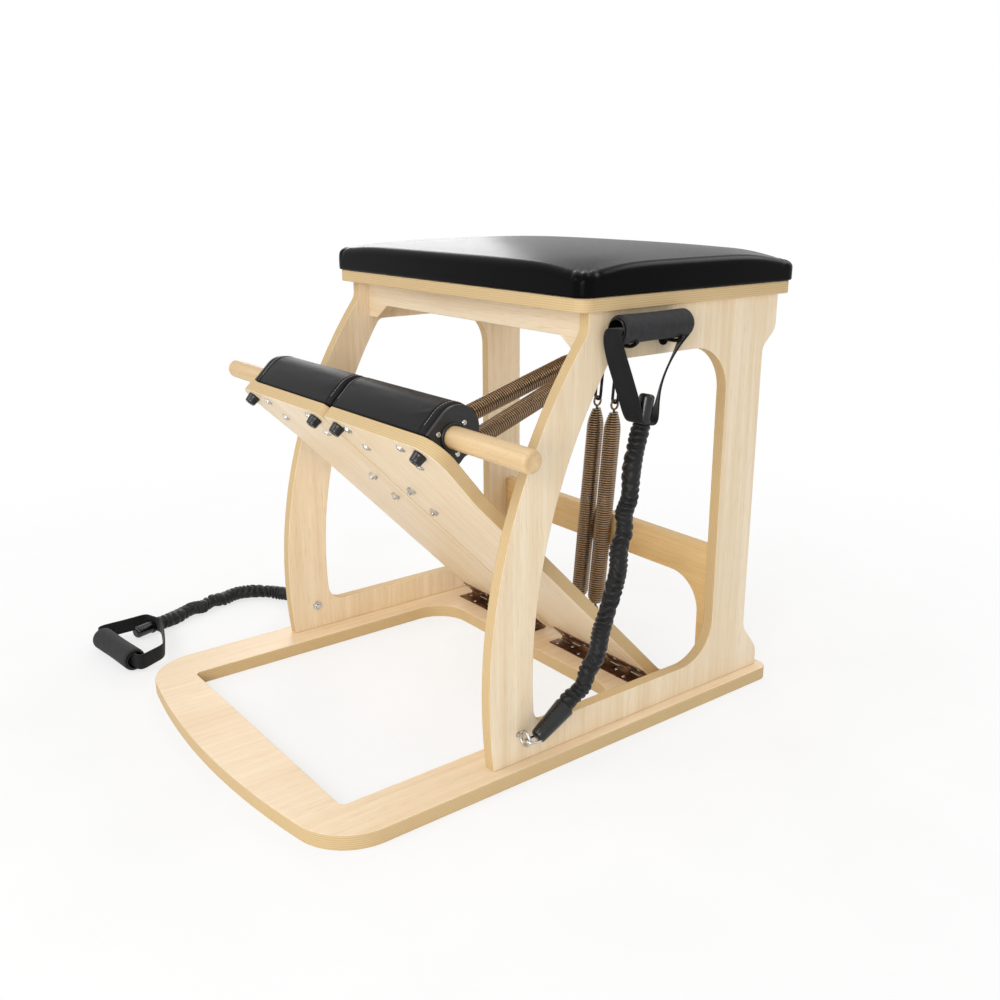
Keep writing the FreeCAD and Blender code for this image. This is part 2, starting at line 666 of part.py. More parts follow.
# Springs, built along +Z from their upper hook
def arc_from(start, tangent, end):
    chord = end - start
    bow = tangent - chord * (tangent.dot(chord) / chord.dot(chord))
    lift = math.tan(tangent.getAngle(chord) / 2) * chord.Length / 2
    return Part.Arc(start, (start + end) * 0.5 + unit(bow) * lift, end).toShape()


def biarc(p0, t0, p1, t1):
    """Two tangent arcs that carry a path from one point and direction to the next."""
    gap = p1 - p0
    both = t0 + t1
    bend = 2 * (1 - t0.dot(t1))
    reach = (math.sqrt(gap.dot(both) ** 2 + bend * gap.dot(gap)) - gap.dot(both)) / bend
    joint = (p0 + t0 * reach + p1 - t1 * reach) * 0.5
    return [arc_from(p0, t0, joint), arc_from(p1, t1 * -1, joint)]


def coil_radius(turn):
    near = min(turn, SPRING_TURNS - turn) / SPRING_TAPER_TURNS
    share = min(1, near)
    ease = share * share * (3 - 2 * share)
    return SPRING_NECK_RADIUS + (SPRING_RADIUS - SPRING_NECK_RADIUS) * ease


def coil_point(turn):
    angle = 2 * math.pi * turn
    radius = coil_radius(turn)
    return V(radius * math.cos(angle), radius * math.sin(angle), SPRING_BODY * turn / SPRING_TURNS)


def coil_heading(turn):
    step = 1 / 1000
    return unit(coil_point(turn + step) - coil_point(turn - step))


def coil():
    """One unbroken wire with tapered ends, swept along quarter-turn biarcs."""
    marks = [i / 4 for i in range(4 * SPRING_TURNS + 1)]
    edges = []
    for turn in marks[:-1]:
        pair = biarc(coil_point(turn), coil_heading(turn), coil_point(turn + 1 / 4), coil_heading(turn + 1 / 4))
        edges.extend([pair[0], pair[1]])
    path = Part.Wire(Part.__sortEdges__(edges))
    section = Part.makePolygon(ring_points(SPRING_WIRE * math.sqrt(2), WIRE_SIDES))
    section.Placement = FreeCAD.Placement(coil_point(0), FreeCAD.Rotation(V(0, 0, 1), coil_heading(0)))
    solid = path.makePipeShell([Part.Wire(section)], True, False)
    turns = [coil_point(i / 24) for i in range(24 * SPRING_TURNS + 1)]
    gap = min((turns[i] - turns[i + 24]).Length for i in range(len(turns) - 24))
    print("spring: wire length", round(path.Length), "turn to turn gap", round(gap - 2 * SPRING_WIRE * math.sqrt(2), 2))
    return solid


def wire_loop(length, half_width, wire):
    """Closed long loop in the XZ plane, its first bend at the origin and its last at Z = length."""
    high = length - half_width
    edges = [Part.Arc(V(-half_width, 0, half_width), V(0, 0, 0), V(half_width, 0, half_width)).toShape(),
             Part.makeLine(V(half_width, 0, half_width), V(half_width, 0, high)),
             Part.Arc(V(half_width, 0, high), V(0, 0, length), V(-half_width, 0, high)).toShape(),
             Part.makeLine(V(-half_width, 0, high), V(-half_width, 0, half_width))]
    section = Part.Wire(Part.makeCircle(wire, V(half_width, 0, length / 2), V(0, 0, 1)))
    middle = V(half_width, 0, length / 2)
    halves = [Part.makeLine(middle, V(half_width, 0, high)), edges[2], edges[3], edges[0],
              Part.makeLine(V(half_width, 0, half_width), middle)]
    return Part.Wire(halves).makePipeShell([section], True, False)


def end_hook(length):
    """Wire loop with a shank and a head held in the spring's tapered end; bend at the origin."""
    loop = wire_loop(length, HOOK_HALF_WIDTH, HOOK_WIRE)
    head_end = length + HOOK_NECK + HOOK_HEAD_DEPTH
    shank = Part.makeCylinder(HOOK_SHANK, head_end - length, V(0, 0, length))
    head = Part.makeCone(HOOK_SHANK, HOOK_HEAD_RADIUS, HOOK_HEAD_LENGTH, V(0, 0, head_end - HOOK_HEAD_LENGTH))
    return loop.fuse([shank, head])


def aimed(shape, foot, toward):
    """Stand a +Z shape at a foot so that its +Z looks along a direction and its X stays level."""
    z = unit(toward)
    y = unit(z.cross(V(1, 0, 0)))
    x = unit(y.cross(z))
    turn = FreeCAD.Matrix(x.x, y.x, z.x, foot.x, x.y, y.y, z.y, foot.y, x.z, y.z, z.z, foot.z, 0, 0, 0, 1)
    placed = shape.copy()
    placed.Placement = FreeCAD.Placement(turn).multiply(shape.Placement)
    return placed


def anchor(side):
    return ANCHOR + V(side * ANCHOR_SPOT, 0, 0)


def pedal_eye(side):
    return pedal_point(side * EYE_SPOT, EYE_STATION, EYE_CENTRE_HEIGHT)


def spring_anchor_eyes():
    eyes = []
    under = SEAT_UNDERSIDE - TOP_RAIL_HEIGHT
    for side in (1, -1):
        centre = anchor(side)
        ring = Part.makeTorus(ANCHOR_RING_RADIUS, EYE_WIRE, centre, V(1, 0, 0))
        shank = upright(EYE_BOLT_RADIUS, centre.x, centre.y, centre.z + ANCHOR_RING_RADIUS, under)
        collar = upright(ANCHOR_COLLAR_RADIUS, centre.x, centre.y, under - ANCHOR_COLLAR_HEIGHT, under)
        eyes.append(ring.fuse([shank, collar]))
    return Part.makeCompound(eyes)


def spring_seats(side):
    """Bends of the hooked spring's two hooks and the direction between them."""
    heading = unit(pedal_eye(side) - anchor(side))
    return anchor(side) + heading * TOP_BEND_SETBACK, pedal_eye(side), heading


def spring_top_hook(side):
    top, eye, heading = spring_seats(side)
    return aimed(end_hook(HOOK_LENGTH), top, heading)


def spring_pedal_hook(side):
    top, eye, heading = spring_seats(side)
    return aimed(end_hook(HOOK_LENGTH), eye, heading * -1)


def pedal_spring(side, wire):
    top, eye, heading = spring_seats(side)
    return aimed(wire, top + heading * (HOOK_LENGTH + HOOK_NECK), heading)


def hanging_line(side):
    """Direction of a spare spring that leans on the top front edge of the rear board."""
    edge = V(0, REAR_BOARD_FRONT, BASE_THICKNESS + REAR_BOARD_HEIGHT)
    drop = edge - ANCHOR
    away = SPRING_RADIUS + SPRING_WIRE * math.sqrt(2) + LEAN_GAP
    lean = math.asin(away / drop.Length) + math.atan2(-drop.y, -drop.z)
    return V(0, -math.sin(lean), -math.cos(lean))


def hanger_loop(side):
    heading = hanging_line(side)
    loop = wire_loop(HANGER_LENGTH, HANGER_HALF_WIDTH, HANGER_WIRE)
    return aimed(loop, anchor(side) + heading * HANGER_BEND_SETBACK, heading)


def hanging_top(side):
    """Bend of the spare spring's upper hook, held by the hanger loop's lower bend."""
    reach = HANGER_BEND_SETBACK + HANGER_LENGTH - HANGER_WIRE - HOOK_WIRE - LEAN_GAP
    return anchor(side) + hanging_line(side) * reach


def hanging_spring(side, wire):
    heading = hanging_line(side)
    return aimed(wire, hanging_top(side) + heading * (SPARE_HOOK_LENGTH + HOOK_NECK), heading)


def hanging_hooks(side):
    """Upper hook turned square to the hanger loop, and the free lower hook."""
    heading = hanging_line(side)
    total = SPRING_BODY + 2 * (SPARE_HOOK_LENGTH + HOOK_NECK)
    upper = end_hook(SPARE_HOOK_LENGTH)
    upper.rotate(V(0, 0, 0), V(0, 0, 1), 90)
    lower = aimed(end_hook(SPARE_HOOK_LENGTH), hanging_top(side) + heading * total, heading * -1)
    return Part.makeCompound([aimed(upper, hanging_top(side), heading), lower])


# Resistance bands
def band_route(side):
    if side > 0:
        return [V(RIGHT_BAND_X, y, z) for y, z in RIGHT_BAND_ROUTE]
    return [V(*spot) for spot in LEFT_BAND_ROUTE]


def band_sleeve(side):
    """Tube of straight runs joined by tangent arcs."""
    spots = band_route(side)
    edges = []
    radii = []
    start = spots[0]
    for back, here, ahead in zip(spots, spots[1:], spots[2:]):
        toward = unit(back - here)
        onward = unit(ahead - here)
        cut = CORD_CUT_SHARE * min((back - here).Length, (ahead - here).Length)
        half = (math.pi - toward.getAngle(onward)) / 2
        radius = cut / math.tan(half)
        crown = here + unit(toward + onward) * (radius / math.cos(half) - radius)
        edges.append(Part.makeLine(start, here + toward * cut))
        edges.append(Part.Arc(here + toward * cut, crown, here + onward * cut).toShape())
        radii.append(radius)
        start = here + onward * cut
    edges.append(Part.makeLine(start, spots[-1]))
    path = Part.Wire(edges)
    section = Part.Wire(Part.makeCircle(BAND_RADIUS, spots[0], spots[1] - spots[0]))
    tube = path.makePipeShell([section], True, False)
    fill = tube.Volume / (math.pi * BAND_RADIUS ** 2 * path.Length)
    print("band: length", round(path.Length), "least radius", round(min(radii)), "fill", round(fill, 4))
    return tube


def band_eye(side):
    """Ring bolt through the panel, its nut on the inner face."""
    centre = V(PANEL_OUTER + BAND_EYE_STANDOFF + BAND_EYE_RADIUS, BAND_EYE_Y, BAND_EYE_HEIGHT)
    ring = Part.makeTorus(BAND_EYE_RADIUS, BAND_EYE_WIRE, centre, V(0, 1, 0))
    tail = PANEL_INNER - EYE_TAIL
    shank = across(BOLT_RADIUS, tail, centre.x - BAND_EYE_RADIUS, BAND_EYE_Y, BAND_EYE_HEIGHT)
    foot = V(PANEL_INNER, BAND_EYE_Y, BAND_EYE_HEIGHT)
    nut = hex_nut(NUT_RADIUS, NUT_HEIGHT, BOLT_RADIUS + BOLT_FIT, foot, V(-1, 0, 0))
    pieces = Part.makeCompound([ring.fuse(shank), nut])
    return pieces if side > 0 else mirrored(pieces)


def cap_line(side):
    spots = band_route(side)
    heading = unit(spots[1] - spots[0])
    return spots[0] - heading * BAND_CAP_LENGTH, heading


def bail(side, wire):
    """Wire bow from inside the end cap round the outer side of the ring bolt."""
    mouth, heading = cap_line(side)
    reach = PANEL_OUTER + BAND_EYE_STANDOFF + 2 * BAND_EYE_RADIUS
    ring = V(side * reach, BAND_EYE_Y, BAND_EYE_HEIGHT)
    if side > 0:
        ring = ring + unit(mouth - ring) * RIGHT_BAIL_DRAW
    run = mouth - ring
    flat = V(run.x, run.y, 0)
    x = unit(V(-flat.y, flat.x, 0))
    z = unit(run)
    y = z.cross(x)
    length = run.Length + BAIL_SINK + BAIL_HALF_WIDTH
    turn = FreeCAD.Matrix(x.x, y.x, z.x, ring.x, x.y, y.y, z.y, ring.y, x.z, y.z, z.z, ring.z, 0, 0, 0, 1)
    legs = BAIL_HALF_WIDTH
    top = length - BAIL_HALF_WIDTH
    path = Part.Wire([Part.makeLine(V(-legs, 0, top), V(-legs, 0, 0)),
                      Part.Arc(V(-legs, 0, 0), V(0, 0, -legs), V(legs, 0, 0)).toShape(),
                      Part.makeLine(V(legs, 0, 0), V(legs, 0, top))])
    bow = path.makePipeShell([Part.Wire(Part.makeCircle(wire, V(-legs, 0, top), V(0, 0, -1)))], True, False)
    bow.Placement = FreeCAD.Placement(turn)
    return bow


def band_hook(side):
    return bail(side, BAIL_WIRE)


def band_end_cap(side):
    mouth, heading = cap_line(side)
    cap = Part.makeCylinder(BAND_CAP_RADIUS, BAND_CAP_LENGTH, mouth, heading)
    rims = [edge for edge in cap.Edges if len(edge.Vertexes) == 1]
    near = min(rims, key=lambda edge: (edge.CenterOfMass - mouth).Length)
    cap = cap.makeFillet(BAND_CAP_ROUND, [near])
    return cap.cut(bail(side, BAIL_WIRE + BAIL_FIT))


def ferrule_line(side):
    spots = band_route(side)
    heading = unit(spots[-1] - spots[-2])
    return spots[-1], heading


def strap_corners(side):
    """Corners of the webbing loop, and the place, width direction and level it lies in."""
    foot, heading = ferrule_line(side)
    seat = foot + heading * (STRAP_THICKNESS / 2)
    reach = CORE_LENGTH / 2 + STRAP_OVERHANG
    if side > 0:
        x, y, z = RIGHT_GRIP_CENTRE
        aside = V(0, heading.z, -heading.y) * STRAP_FOOT_SPREAD
        loop = [(y + reach, z, STRAP_BEND), (seat.y + aside.y, seat.z + aside.z, STRAP_FOOT_BEND),
                (seat.y - aside.y, seat.z - aside.z, STRAP_FOOT_BEND), (y - reach, z, STRAP_BEND)]
        return (y, z, 0), loop, lambda p: V(x, p.x, p.y), V(1, 0, 0)
    x, y, z = LEFT_GRIP_CENTRE
    turn = math.radians(LEFT_GRIP_TURN)
    run = V(math.cos(turn), math.sin(turn), 0) * reach
    aside = V(-heading.y, heading.x, 0) * STRAP_FOOT_SPREAD
    loop = [(x + run.x, y + run.y, STRAP_BEND), (*LEFT_STRAP_BULGE, LEFT_STRAP_BEND),
            (seat.x + aside.x, seat.y + aside.y, STRAP_FOOT_BEND),
            (seat.x - aside.x, seat.y - aside.y, STRAP_FOOT_BEND), (x - run.x, y - run.y, STRAP_BEND)]
    return (x, y, 0), loop, lambda p: V(p.x, p.y, z), V(0, 0, 1)


def handle_strap(side):
    """One webbing loop through the grip's core and round under the ferrule."""
    middle, loop, place, wide = strap_corners(side)
    edges = rounded_path([middle, *loop], place)
    start = edges[0].Vertexes[0].Point
    along = unit(edges[0].Vertexes[1].Point - start)
    thick = along.cross(wide) * (STRAP_THICKNESS / 2)
    half = wide * (STRAP_WIDTH / 2)
    corners = [start + thick + half, start - thick + half, start - thick - half, start + thick - half]
    section = Part.makePolygon(corners + corners[:1])
    return Part.Wire(edges).makePipeShell([section], True, False)


def band_ferrule(side):
    """Stop on the band's end inside the loop: a lip on the webbing and a rounded head."""
    foot, heading = ferrule_line(side)
    seat = foot + heading * STRAP_THICKNESS
    head = Part.makeCylinder(FERRULE_RADIUS, FERRULE_LENGTH, seat, heading)
    rims = [edge for edge in head.Edges if len(edge.Vertexes) == 1]
    far = max(rims, key=lambda edge: (edge.CenterOfMass - seat).Length)
    head = head.makeFillet(FERRULE_ROUND, [far])
    return head.fuse(Part.makeCylinder(FERRULE_LIP_RADIUS, FERRULE_LIP, seat, heading))


def grip_tube(side, outer, bore, length):
    if side > 0:
        along = V(0, 1, 0)
        centre = V(*RIGHT_GRIP_CENTRE)
    else:
        turn = math.radians(LEFT_GRIP_TURN)
        along = V(math.cos(turn), math.sin(turn), 0)
        centre = V(*LEFT_GRIP_CENTRE)
    tube = Part.makeCylinder(outer, length, centre - along * (length / 2), along)
    reach = length / 2 + OVERRUN
    return tube.cut(Part.makeCylinder(bore, 2 * reach, centre - along * reach, along))


def handle_grip(side):
    return grip_tube(side, GRIP_RADIUS, GRIP_CORE_RADIUS + GRIP_FIT, GRIP_LENGTH)


def grip_core(side):
    return grip_tube(side, GRIP_CORE_RADIUS, GRIP_CORE_BORE, CORE_LENGTH)


def handle_hooks(side):
    """Two wire cradles on the outer face that carry the grip, each on a round plate."""
    x, y, z = RIGHT_GRIP_CENTRE
    swing = GRIP_RADIUS + HANDLE_HOOK_GAP + HANDLE_HOOK_WIRE
    tip = math.radians(HANDLE_HOOK_SWEEP)
    pieces = []
    for place in (y - HANDLE_HOOK_SPACING, y + HANDLE_HOOK_SPACING):
        start = V(PANEL_OUTER, place, z - swing)
        turn = V(x, place, z - swing)
        crown = V(x + swing * math.sin(tip / 2), place, z - swing * math.cos(tip / 2))
        end = V(x + swing * math.sin(tip), place, z - swing * math.cos(tip))
        path = Part.Wire([Part.makeLine(start, turn), Part.Arc(turn, crown, end).toShape()])
        section = Part.Wire(Part.makeCircle(HANDLE_HOOK_WIRE, start, V(1, 0, 0)))
        wire = path.makePipeShell([section], True, False)
        plate = across(HANDLE_HOOK_PLATE, PANEL_OUTER, PANEL_OUTER + HANDLE_HOOK_PLATE_THICKNESS, place, z - swing)
        pieces.append(wire.fuse(plate))
    hooks = Part.makeCompound(pieces)
    return hooks if side > 0 else mirrored(hooks)


# Assembly
def frame_nodes():
    panel = side_panel()
    return {"base_board": base_board(), "side_panel_right": panel, "side_panel_left": mirrored(panel),
            "front_apron": front_apron(), "rear_board": rear_board(), "rear_top_rail": rear_top_rail(),
            "seat_board": seat_board(), "seat_cushion": seat_cushion(),
            "spring_anchor_eyes": spring_anchor_eyes(), "lock_rod": lock_rod()}


def paired_nodes():
    """Pieces built once for +X and mirrored for -X."""
    makers = {"hinge_base_leaf": hinge_base_leaf, "hinge_pin": hinge_pin, "pedal_board": pedal_board,
              "hinge_pedal_leaf": hinge_pedal_leaf, "pedal_pad": pedal_pad, "pad_flange": pad_flange,
              "flange_screws": flange_screws, "rubber_bumpers": rubber_bumpers, "pad_bolts": pad_bolts,
              "spring_eye_bolts": spring_eye_bolts}
    nodes = {}
    for name, maker in makers.items():
        shape = maker()
        nodes[name + "_right"] = shape
        nodes[name + "_left"] = mirrored(shape)
    return nodes


def sided_nodes():
    """Pieces placed on each side in their own way."""
    wire = coil()
    makers = {"spring_top_hook": spring_top_hook, "spring_pedal_hook": spring_pedal_hook,
              "hanger_loop": hanger_loop, "hanging_spring_hooks": hanging_hooks, "band_eye_bolt": band_eye,
              "band_hook": band_hook, "band_end_cap": band_end_cap, "band_sleeve": band_sleeve,
              "band_ferrule": band_ferrule, "handle_strap": handle_strap, "handle_grip": handle_grip,
              "grip_core": grip_core, "handle_hooks": handle_hooks}
    nodes = {}
    for side, word in ((1, "_right"), (-1, "_left")):
        for name, maker in makers.items():
            nodes[name + word] = maker(side)
        nodes["pedal_spring" + word] = pedal_spring(side, wire)
        nodes["hanging_spring" + word] = hanging_spring(side, wire)
    return nodes


def main():
    os.makedirs("parts", exist_ok=True)
    nodes = {**frame_nodes(), **paired_nodes(), **sided_nodes()}
    for name, shape in nodes.items():
        shape.exportStep("parts/" + name + ".step")
    print(len(nodes), "nodes written")


main()
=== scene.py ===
"""Dressed split-pedal pilates chair: plywood, upholstery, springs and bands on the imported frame."""
import logging
import math
from dataclasses import dataclass
from enum import Enum

import bmesh
import bpy
import numpy as np
from mathutils import Matrix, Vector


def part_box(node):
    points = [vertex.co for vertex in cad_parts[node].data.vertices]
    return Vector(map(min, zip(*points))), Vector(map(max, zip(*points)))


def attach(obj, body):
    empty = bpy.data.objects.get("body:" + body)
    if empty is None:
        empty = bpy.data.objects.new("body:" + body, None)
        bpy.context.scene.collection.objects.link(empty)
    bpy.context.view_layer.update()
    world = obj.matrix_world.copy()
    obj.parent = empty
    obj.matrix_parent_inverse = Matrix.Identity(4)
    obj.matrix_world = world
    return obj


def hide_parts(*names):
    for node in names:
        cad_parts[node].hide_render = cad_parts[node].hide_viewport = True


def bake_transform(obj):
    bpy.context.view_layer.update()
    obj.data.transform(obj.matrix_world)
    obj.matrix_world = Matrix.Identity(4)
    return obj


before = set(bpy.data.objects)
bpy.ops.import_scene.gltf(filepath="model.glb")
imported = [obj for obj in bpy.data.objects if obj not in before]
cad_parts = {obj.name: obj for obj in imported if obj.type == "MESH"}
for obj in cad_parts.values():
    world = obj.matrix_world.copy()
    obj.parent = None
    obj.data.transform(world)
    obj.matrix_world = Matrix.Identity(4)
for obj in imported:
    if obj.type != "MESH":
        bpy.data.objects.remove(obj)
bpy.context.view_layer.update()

LOG = logging.getLogger("pilates_chair")
UPRIGHT = np.array([0.0, 0.0, 1.0])
SIDEWAYS = np.array([1.0, 0.0, 0.0])
Socket = bpy.types.NodeSocket
Triple = tuple[float, float, float]
Colour = tuple[float, float, float, float]
UNSCALED: Triple = (1.0, 1.0, 1.0)
WHITE: Colour = (1.0, 1.0, 1.0, 1.0)
BLACK: Colour = (0.0, 0.0, 0.0, 1.0)
TURNED_CRISP = math.radians(42)
BORED_CRISP = math.radians(50)
BORED_SIDES = 48


class Side(Enum):
    """The two sides of the chair, seen from the front."""

    RIGHT = 1
    LEFT = -1

    def name_of(self, stem: str) -> str:
        """Name of this side's copy of a node, body or piece."""
        return f"{stem}_{self.name.lower()}"


class Axis(Enum):
    """Directions in a board: across the chair, along it, or up."""

    ACROSS = 0
    ALONG = 1
    UP = 2


def paint(red: int, green: int, blue: int) -> Colour:
    """Linear colour from the 0 to 255 values of a screen colour."""
    screen = np.array([red, green, blue]) / 255
    linear = np.where(screen <= 0.04045, screen / 12.92, ((screen + 0.055) / 1.055) ** 2.4)
    return (*linear.tolist(), 1.0)


# Pedal frame
@dataclass(frozen=True)
class PedalFrame:
    """Place on a pedal at rest: across, station from the hinge line, height over the underside."""

    hinge_y: float = 0.2115
    hinge_z: float = 0.0242
    pitch: float = math.radians(45.7593)
    board: float = 0.017

    @property
    def forward(self) -> np.ndarray:
        """Direction of growing station."""
        return np.array([0.0, -math.cos(self.pitch), math.sin(self.pitch)])

    @property
    def outward(self) -> np.ndarray:
        """Direction away from the underside, through the board."""
        return np.array([0.0, math.sin(self.pitch), math.cos(self.pitch)])

    def points(self, x: np.ndarray, station: np.ndarray, height: np.ndarray) -> np.ndarray:
        """World points: hinge line plus station times forward plus height times outward.

        Args:
            x: Places across the chair.
            station: Distances from the hinge line along the board.
            height: Distances from the board's underside.

        Returns:
            Array of points, one for each broadcast place.
        """
        x, station, height = np.broadcast_arrays(x, station, height)
        base = np.array([0.0, self.hinge_y, self.hinge_z])
        return (base + x[..., None] * SIDEWAYS + station[..., None] * self.forward
                + height[..., None] * self.outward)


PEDAL = PedalFrame()


# Surfaces
def unit(vectors: np.ndarray) -> np.ndarray:
    """Vectors divided by their lengths."""
    return vectors / np.linalg.norm(vectors, axis=-1, keepdims=True)


def lattice(rows: int, cols: int, wrap_rows: bool,
            wrap_cols: bool) -> tuple[np.ndarray, np.ndarray]:
    """Quads of a grid of points, each from a cell's four corners.

    Args:
        rows: Points along.
        cols: Points around.
        wrap_rows: Whether the last row joins the first.
        wrap_cols: Whether the last column joins the first.

    Returns:
        Vertex numbers of the quads, and their row and column before wrapping.
    """
    i, j = np.meshgrid(np.arange(rows - (not wrap_rows)), np.arange(cols - (not wrap_cols)),
                       indexing="ij")
    place = np.stack([i, j, i, j + 1, i + 1, j + 1, i + 1, j], -1).reshape(-1, 4, 2)
    return place[..., 0] % rows * cols + place[..., 1] % cols, place


def signed_volume(points: np.ndarray, triangles: np.ndarray) -> float:
    """Sixth of the sum of a . (b x c) over the triangles: above zero when they face outwards."""
    a, b, c = (points[triangles[:, k]] for k in range(3))
    return float(np.einsum("ij,ij->", a, np.cross(b, c))) / 6


def skin(name: str, grid: np.ndarray, along: np.ndarray, around: np.ndarray,
         closed: bool = False) -> bpy.types.Object:
    """Mesh object over one grid of points, or over several alike, whose columns wrap.

    Args:
        name: Name of the piece.
        grid: Points as (rows, columns, 3) or (copies, rows, columns, 3).
        along: UV length at each row, in metres, with one more value where rows wrap.
        around: UV length at each column, with one more value for the wrap.
        closed: Whether the last row joins the first; if not, a fan closes each end.

    Returns:
        The linked object, its faces wound outwards.
    """
    grid = grid[None] if grid.ndim == 3 else grid
    copies, rows, cols = grid.shape[:3]
    quads, place = lattice(rows, cols, closed, True)
    quad_uv = np.stack([around[place[..., 1]], along[place[..., 0]]], -1)
    points = grid.reshape(copies, -1, 3)
    tris, tri_uv = np.zeros((0, 3), int), np.zeros((0, 3, 2))
    if not closed:
        poles = [grid[:, row].mean(1)[:, None] for row in (0, -1)]
        points = np.concatenate([points, *poles], 1)
        j, k, last = np.arange(cols), (np.arange(cols) + 1) % cols, (rows - 1) * cols
        near = np.stack([np.full(cols, rows * cols), k, j], -1)
        far = np.stack([np.full(cols, rows * cols + 1), last + j, last + k], -1)
        tris = np.concatenate([near, far])
        spots = [np.stack([around[j], np.full(cols, along[row])], -1) for row in (0, -1)]
        tri_uv = np.concatenate([np.repeat(spot[:, None], 3, 1) for spot in spots])
    halves = np.concatenate([quads[:, [0, 1, 2]], quads[:, [0, 2, 3]], tris])
    if signed_volume(points[0] - points[0].mean(0), halves) < 0:
        quads, quad_uv, tris, tri_uv = (
            values[:, ::-1] for values in (quads, quad_uv, tris, tri_uv))
    shift = np.arange(copies)[:, None, None] * points.shape[1]
    faces = (quads + shift).reshape(-1, 4).tolist() + (tris + shift).reshape(-1, 3).tolist()
    uv = np.concatenate([np.tile(values.reshape(-1), copies) for values in (quad_uv, tri_uv)])
    mesh = bpy.data.meshes.new(name)
    mesh.from_pydata(points.reshape(-1, 3).tolist(), [], faces)
    mesh.uv_layers.new(name="surface").data.foreach_set("uv", uv.astype(np.float32))
    return linked(name, mesh)


def linked(name: str, mesh: bpy.types.Mesh) -> bpy.types.Object:
    """New smooth-shaded object of a mesh, in the scene."""
    mesh.polygons.foreach_set("use_smooth", np.ones(len(mesh.polygons), bool))
    piece = bpy.data.objects.new(name, mesh)
    bpy.context.scene.collection.objects.link(piece)
    return piece


def frames(path: np.ndarray, reference: np.ndarray) -> tuple[np.ndarray, np.ndarray]:
    """Two unit directions square to a path: reference x tangent, and tangent x that.

    Args:
        path: Points along the path.
        reference: A direction, or one for each point, that the path never follows.

    Returns:
        The first and second direction at each point.
    """
    tangent = unit(np.gradient(path, axis=0))
    first = unit(np.cross(np.broadcast_to(reference, tangent.shape), tangent))
    return first, np.cross(tangent, first)


def lengths(path: np.ndarray) -> np.ndarray:
    """Length along a path at each of its points."""
    return np.concatenate([[0.0], np.cumsum(np.linalg.norm(np.diff(path, axis=0), axis=1))])


def resampled(path: np.ndarray, count: int) -> np.ndarray:
    """A path's points at equal lengths along it."""
    reach = lengths(path)
    marks = np.linspace(0, reach[-1], count)
    return np.stack([np.interp(marks, reach, path[:, k]) for k in range(3)], -1)


def tube(path: np.ndarray, reference: np.ndarray, radius: np.ndarray, sides: int) -> np.ndarray:
    """Ring carried along a path: path + radius (cos a first + sin a second).

    Args:
        path: Points along the path.
        reference: Direction for the rings' frames.
        radius: Radius at each point, or at each point and side.
        sides: Points round a ring.

    Returns:
        Grid of points, rings by sides.
    """
    first, second = frames(path, reference)
    angle = np.linspace(0, 2 * np.pi, sides, endpoint=False)
    ring = (np.cos(angle)[None, :, None] * first[:, None]
            + np.sin(angle)[None, :, None] * second[:, None])
    radius = np.broadcast_to(np.asarray(radius).reshape(len(path), -1), (len(path), sides))
    return path[:, None] + radius[..., None] * ring


def turned(profile: np.ndarray, feet: np.ndarray, axis: np.ndarray, sides: int) -> np.ndarray:
    """A (radius, height) profile turned about an axis at each foot.

    Args:
        profile: Radius and height of each ring.
        feet: Place of height 0 for each copy.
        axis: Direction of growing height.
        sides: Points round a ring.

    Returns:
        Grids of points, copies by rings by sides.
    """
    axis = unit(np.asarray(axis, float))
    first = unit(np.cross(axis, UPRIGHT if abs(axis[2]) < 0.9 else SIDEWAYS))
    second = np.cross(axis, first)
    angle = np.linspace(0, 2 * np.pi, sides, endpoint=False)[:, None]
    ring = np.cos(angle) * first + np.sin(angle) * second
    one = profile[:, 0, None, None] * ring + profile[:, 1, None, None] * axis
    return np.asarray(feet, float).reshape(-1, 1, 1, 3) + one


def looped(values: np.ndarray) -> np.ndarray:
    """Rows with the first one again at the end."""
    return np.concatenate([values, values[:1]])


def turned_piece(name: str, profile: tuple[tuple[float, float], ...], feet: np.ndarray,
                 axis: np.ndarray, sides: int) -> bpy.types.Object:
    """Closed turned piece, or several alike, from a (radius, height) profile.

    Args:
        name: Name of the piece.
        profile: Radius and height of each ring, from pole to pole.
        feet: Place of height 0 for each copy.
        axis: Direction of growing height.
        sides: Points round a ring.

    Returns:
        The linked object with its corners kept crisp.
    """
    rings = np.array(profile)
    girth = np.linspace(0, 2 * np.pi * rings[:, 0].max(), sides + 1)
    piece = skin(name, turned(rings, feet, axis, sides), lengths(rings), girth)
    piece.data.set_sharp_from_angle(angle=TURNED_CRISP)
    return piece


def bored_piece(name: str, profile: np.ndarray, foot: np.ndarray, axis: np.ndarray,
                girth: float) -> bpy.types.Object:
    """Turned piece with a bore, from a closed (radius, height) profile.

    Args:
        name: Name of the piece.
        profile: Radius and height of each ring, once round the section.
        foot: Place of height 0.
        axis: Direction of growing height.
        girth: UV length round the piece.

    Returns:
        The linked object with its corners kept crisp.
    """
    grid = turned(profile, foot, axis, BORED_SIDES)[0]
    around = np.linspace(0, girth, BORED_SIDES + 1)
    piece = skin(name, grid, lengths(looped(profile)), around, closed=True)
    piece.data.set_sharp_from_angle(angle=BORED_CRISP)
    return piece


